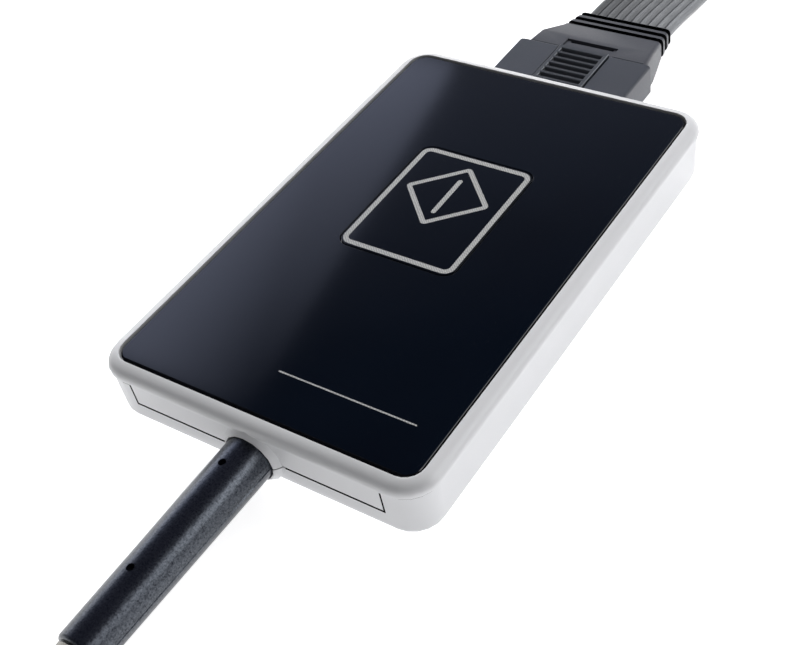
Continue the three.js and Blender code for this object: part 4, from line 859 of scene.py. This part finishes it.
def cut_pin_holes(obj, turn):
    bm = bmesh.new()
    leaning = turn @ Matrix.Rotation(PIN_HOLE_TURN, 3, "Z")
    for along in PIN_HOLES:
        middle = SLEEVE_ROOT + leaning @ Vector((0, SLEEVE_R, along))
        place = Matrix.Translation(middle * MM) @ leaning.to_4x4() @ Matrix.Rotation(math.pi / 2, 4, "X")
        bmesh.ops.create_cone(
            bm,
            cap_ends=True,
            segments=20,
            radius1=PIN_HOLE_R * MM,
            radius2=PIN_HOLE_R * MM,
            depth=PIN_HOLE_LENGTH * MM,
            matrix=place,
        )
    cutter = bpy.data.objects.new("pin_holes", to_mesh(bm, "pin_holes"))
    scene.collection.objects.link(cutter)
    cut = obj.modifiers.new("cut", "BOOLEAN")
    cut.operation = "DIFFERENCE"
    cut.solver = "EXACT"
    cut.object = cutter
    bpy.context.view_layer.update()
    done = bpy.data.meshes.new_from_object(obj.evaluated_get(bpy.context.evaluated_depsgraph_get()))
    obj.modifiers.clear()
    obj.data = done
    bpy.data.objects.remove(cutter)


def place_sleeve():
    turn = sleeve_frame()
    sleeve = link("usb_sleeve_finished", sleeve_mesh(turn), LOOK["sleeve"], "recorder", ["usb_sleeve"])
    cut_pin_holes(sleeve, turn)
    settle(sleeve)


def place_collar():
    """Its near end reaches back to the sleeve's."""
    collar = refine("sleeve_end_collar", "collar", 0.08)
    for vertex in collar.data.vertices:
        if (vertex.co / MM - SLEEVE_ROOT).dot(SLEEVE_WAY) < COLLAR_MIDDLE:
            vertex.co -= SLEEVE_WAY * (SLEEVE_CAD_LENGTH - SLEEVE_LENGTH) * MM


place_sleeve()
place_collar()


# Print on the key and the panel

INK_BOTTOM = PANEL_Z + 0.012
INK_TOP = PANEL_Z + 0.03
FRAME_MIDDLE = Vector((0.0, 6.9))
FRAME_HALF = (11.6, 14.75)
FRAME_R = 2.0
FRAME_LINE = 1.0
DIAMOND_MIDDLE = Vector((-0.16, 10.4))
DIAMOND_HALF = (8.9, 8.75)
DIAMOND_R = 0.9
DIAMOND_LINE = 0.95


def rounded(points, radius, steps):
    """An outline with rounded corners."""
    result = []
    count = len(points)
    for i, (x, y) in enumerate(points):
        here = Vector((x, y))
        before = (Vector(points[i - 1]) - here).normalized()
        after = (Vector(points[(i + 1) % count]) - here).normalized()
        half = before.angle(after) / 2
        centre = here + (before + after).normalized() * (radius / math.sin(half))
        first = here + before * (radius / math.tan(half)) - centre
        last = here + after * (radius / math.tan(half)) - centre
        sweep = first.angle_signed(last)
        for k in range(steps + 1):
            turn = Matrix.Rotation(-sweep * k / steps, 2)
            result.append(centre + turn @ first)
    return result


def printed_band(name, outer, inner, body):
    """A film of ink between two outlines with as many points each."""
    bm = bmesh.new()
    rings = [
        [bm.verts.new((p.x * MM, p.y * MM, height * MM)) for p in outline]
        for outline, height in ((outer, INK_BOTTOM), (outer, INK_TOP), (inner, INK_TOP), (inner, INK_BOTTOM))
    ]
    add_bands(bm, [*rings, rings[0]])
    bmesh.ops.recalc_face_normals(bm, faces=bm.faces)
    link(name, to_mesh(bm, name), LOOK["print"], body)


def printed_bar(name, start, end, width, body):
    a, b = Vector(start), Vector(end)
    along = (b - a).normalized()
    side = Vector((-along.y, along.x)) * (width / 2)
    outline = rounded([a - side, b - side, b + side, a + side], width * 0.42, 4)
    middle = (a + b) / 2
    inner = [middle + (p - middle) * 0.02 for p in outline]
    printed_band(name, outline, inner, body)


def frame_outline(inset):
    x, y = (half - inset for half in FRAME_HALF)
    corners = [FRAME_MIDDLE + Vector(c) for c in ((-x, -y), (x, -y), (x, y), (-x, y))]
    return rounded(corners, FRAME_R - inset, 6)


def diamond_outline(inset):
    x, y = (half - inset * 1.41 for half in DIAMOND_HALF)
    corners = [DIAMOND_MIDDLE + Vector(c) for c in ((0, -y), (x, 0), (0, y), (-x, 0))]
    return rounded(corners, DIAMOND_R - 0.7 * inset, 5)


printed_band("key_frame_print", frame_outline(0), frame_outline(FRAME_LINE), "start_key")
printed_band("key_diamond_print", diamond_outline(0), diamond_outline(DIAMOND_LINE), "start_key")
printed_bar("key_bar_print", (-0.05, 5.2), (-0.05, 15.3), 0.95, "start_key")
printed_bar("panel_rule_print", (-1.9, -38.6), (24.7, -38.6), 0.3, "recorder")


# Pieces beside each cord, listed but not used

for lead, (cord, line) in enumerate(zip(lead_cords, lead_lines)):
    pieces = [f"lead_plug_{lead + 1}_finished"]
    if lead == 0:
        pieces += ["ribbon_tie_finished", "plug_hood_finished", "plug_shroud_finished"]
        pieces += ["plug_contact_block_finished", "latch_slider_finished", "latch_spring_finished"]


# Stage and lights: places and sizes of the lights in metres

FLOOR_REACH = 4000
CARD_HEIGHT = 700.0
CARD_NEAR, CARD_FAR = (-2, -48), (-21, 48)  # where the card's right edge is mirrored on the panel
CARD_ROWS = ((1, 0, 0), (-1, 0.8, 0.06), (-24, 1, 0.85), (-60, 1, 1), (-420, 0.8, 0.8))  # step in x, glow far and near
MIDDLE = (0, 0, 0)
FRONT = (0, -0.07, 0)


def floor_material():
    m = Nodes("floor_white")
    m.set(Base_Color=(0.84, 0.84, 0.85, 1), Roughness=0.9, Specular_IOR_Level=0.1)
    glow = m.add("ShaderNodeEmission", Strength=0.85)
    total = m.add("ShaderNodeAddShader")
    m.join(m.shader.outputs["BSDF"], total.inputs[0])
    m.join(glow.outputs["Emission"], total.inputs[1])
    output = next(n for n in m.tree.nodes if n.type == "OUTPUT_MATERIAL")
    m.join(total.outputs["Shader"], output.inputs["Surface"])
    return m.material


def make_floor():
    r = FLOOR_REACH * MM
    mesh = bpy.data.meshes.new("floor")
    mesh.from_pydata([(-r, -r, 0), (r, -r, 0), (r, r, 0), (-r, r, 0)], [], [(0, 1, 2, 3)])
    mesh.materials.append(floor_material())
    floor = bpy.data.objects.new("floor", mesh)
    scene.collection.objects.link(floor)


def area_light(name, place, aim, size, power):
    data = bpy.data.lights.new(name, "AREA")
    data.shape = "RECTANGLE"
    data.size, data.size_y = size
    data.energy = power
    light = bpy.data.objects.new(name, data)
    scene.collection.objects.link(light)
    light.location = place
    direction = Vector(aim) - Vector(place)
    light.rotation_euler = direction.to_track_quat("-Z", "Y").to_euler()
    return light


def make_world():
    """White behind the object; for the glossy rays white at the horizon and dim overhead; even ambient light."""
    scene.world = bpy.data.worlds.new("world")
    w = Tree(scene.world)
    w.tree.nodes.clear()
    ambient = w.add("ShaderNodeBackground", Color=(1, 1, 1, 1), Strength=0.18)
    white = w.add("ShaderNodeBackground", Color=(1, 1, 1, 1), Strength=1.0)
    mirrored = w.add("ShaderNodeBackground", Strength=1.0)
    place = w.add("ShaderNodeTexCoord")
    split = w.add("ShaderNodeSeparateXYZ")
    w.join(place.outputs["Generated"], split.inputs["Vector"])
    sky = w.ramp(split.outputs["Z"], (0.9, 0.9, 0.9), (0.01, 0.01, 0.012), 0.15, 0.70)
    sky.node.color_ramp.elements.new(0.56).color = (0.17, 0.18, 0.23, 1)
    w.join(sky, mirrored.inputs["Color"])
    path = w.add("ShaderNodeLightPath")
    seen = w.add("ShaderNodeMath")
    seen.operation = "MAXIMUM"
    w.join(path.outputs["Is Camera Ray"], seen.inputs[0])
    w.join(path.outputs["Is Transmission Ray"], seen.inputs[1])
    lighting = w.mix(path.outputs["Is Glossy Ray"], ambient.outputs["Background"], mirrored.outputs["Background"])
    total = w.mix(seen.outputs["Value"], lighting, white.outputs["Background"])
    w.join(total, w.add("ShaderNodeOutputWorld").inputs["Surface"])


def card_material():
    """A pale card whose edges fade, so its reflection on the panel ends softly."""
    material = bpy.data.materials.new("card")
    c = Tree(material)
    c.tree.nodes.clear()
    glow = c.add("ShaderNodeEmission", Color=(0.69, 0.75, 1.0, 1), Strength=1.83)
    clear = c.add("ShaderNodeBsdfTransparent")
    attribute = c.add("ShaderNodeAttribute")
    attribute.attribute_name = "fade"
    total = c.mix(attribute.outputs["Fac"], clear.outputs["BSDF"], glow.outputs["Emission"])
    c.join(total, c.add("ShaderNodeOutputMaterial").inputs["Surface"])
    return material


def mirrored_spot(x, y):
    """The point at the card's height that the panel mirrors to the camera at x, y."""
    spot = Vector((x, y, PANEL_Z))
    ray = spot - EYE
    ray.z = -ray.z
    return spot + ray * ((CARD_HEIGHT - PANEL_Z) / ray.z)


def make_card():
    """It stands where the panel's left third mirrors it to the camera."""
    corners = []
    glow = []
    for step, far, near in CARD_ROWS:
        corners += [mirrored_spot(CARD_NEAR[0] + step, CARD_NEAR[1]), mirrored_spot(CARD_FAR[0] + step, CARD_FAR[1])]
        glow += [near, far]
    mesh = bpy.data.meshes.new("soft_card")
    faces = [(i, i + 1, i + 3, i + 2) for i in range(0, len(corners) - 2, 2)]
    mesh.from_pydata([corner * MM for corner in corners], [], faces)
    mesh.attributes.new("fade", "FLOAT", "POINT").data.foreach_set("value", glow)
    mesh.materials.append(card_material())
    card = bpy.data.objects.new("soft_card", mesh)
    scene.collection.objects.link(card)
    card.visible_camera = False
    card.visible_diffuse = False
    card.visible_shadow = False


make_floor()
make_world()
make_card()
area_light("key_light", (0.80, 0.62, 0.55), MIDDLE, (0.7, 0.5), 2.8)
area_light("top_light", (-0.25, 0.75, 0.75), MIDDLE, (0.9, 0.5), 13.0).visible_glossy = False
area_light("sheen_light", (0.96, 0.28, 0.61), FRONT, (0.45, 0.6), 2.0).visible_diffuse = False
area_light("left_sheen", (-0.95, 0.33, 0.28), FRONT, (0.5, 0.4), 1.0).visible_diffuse = False

scene.view_settings.view_transform = "Standard"
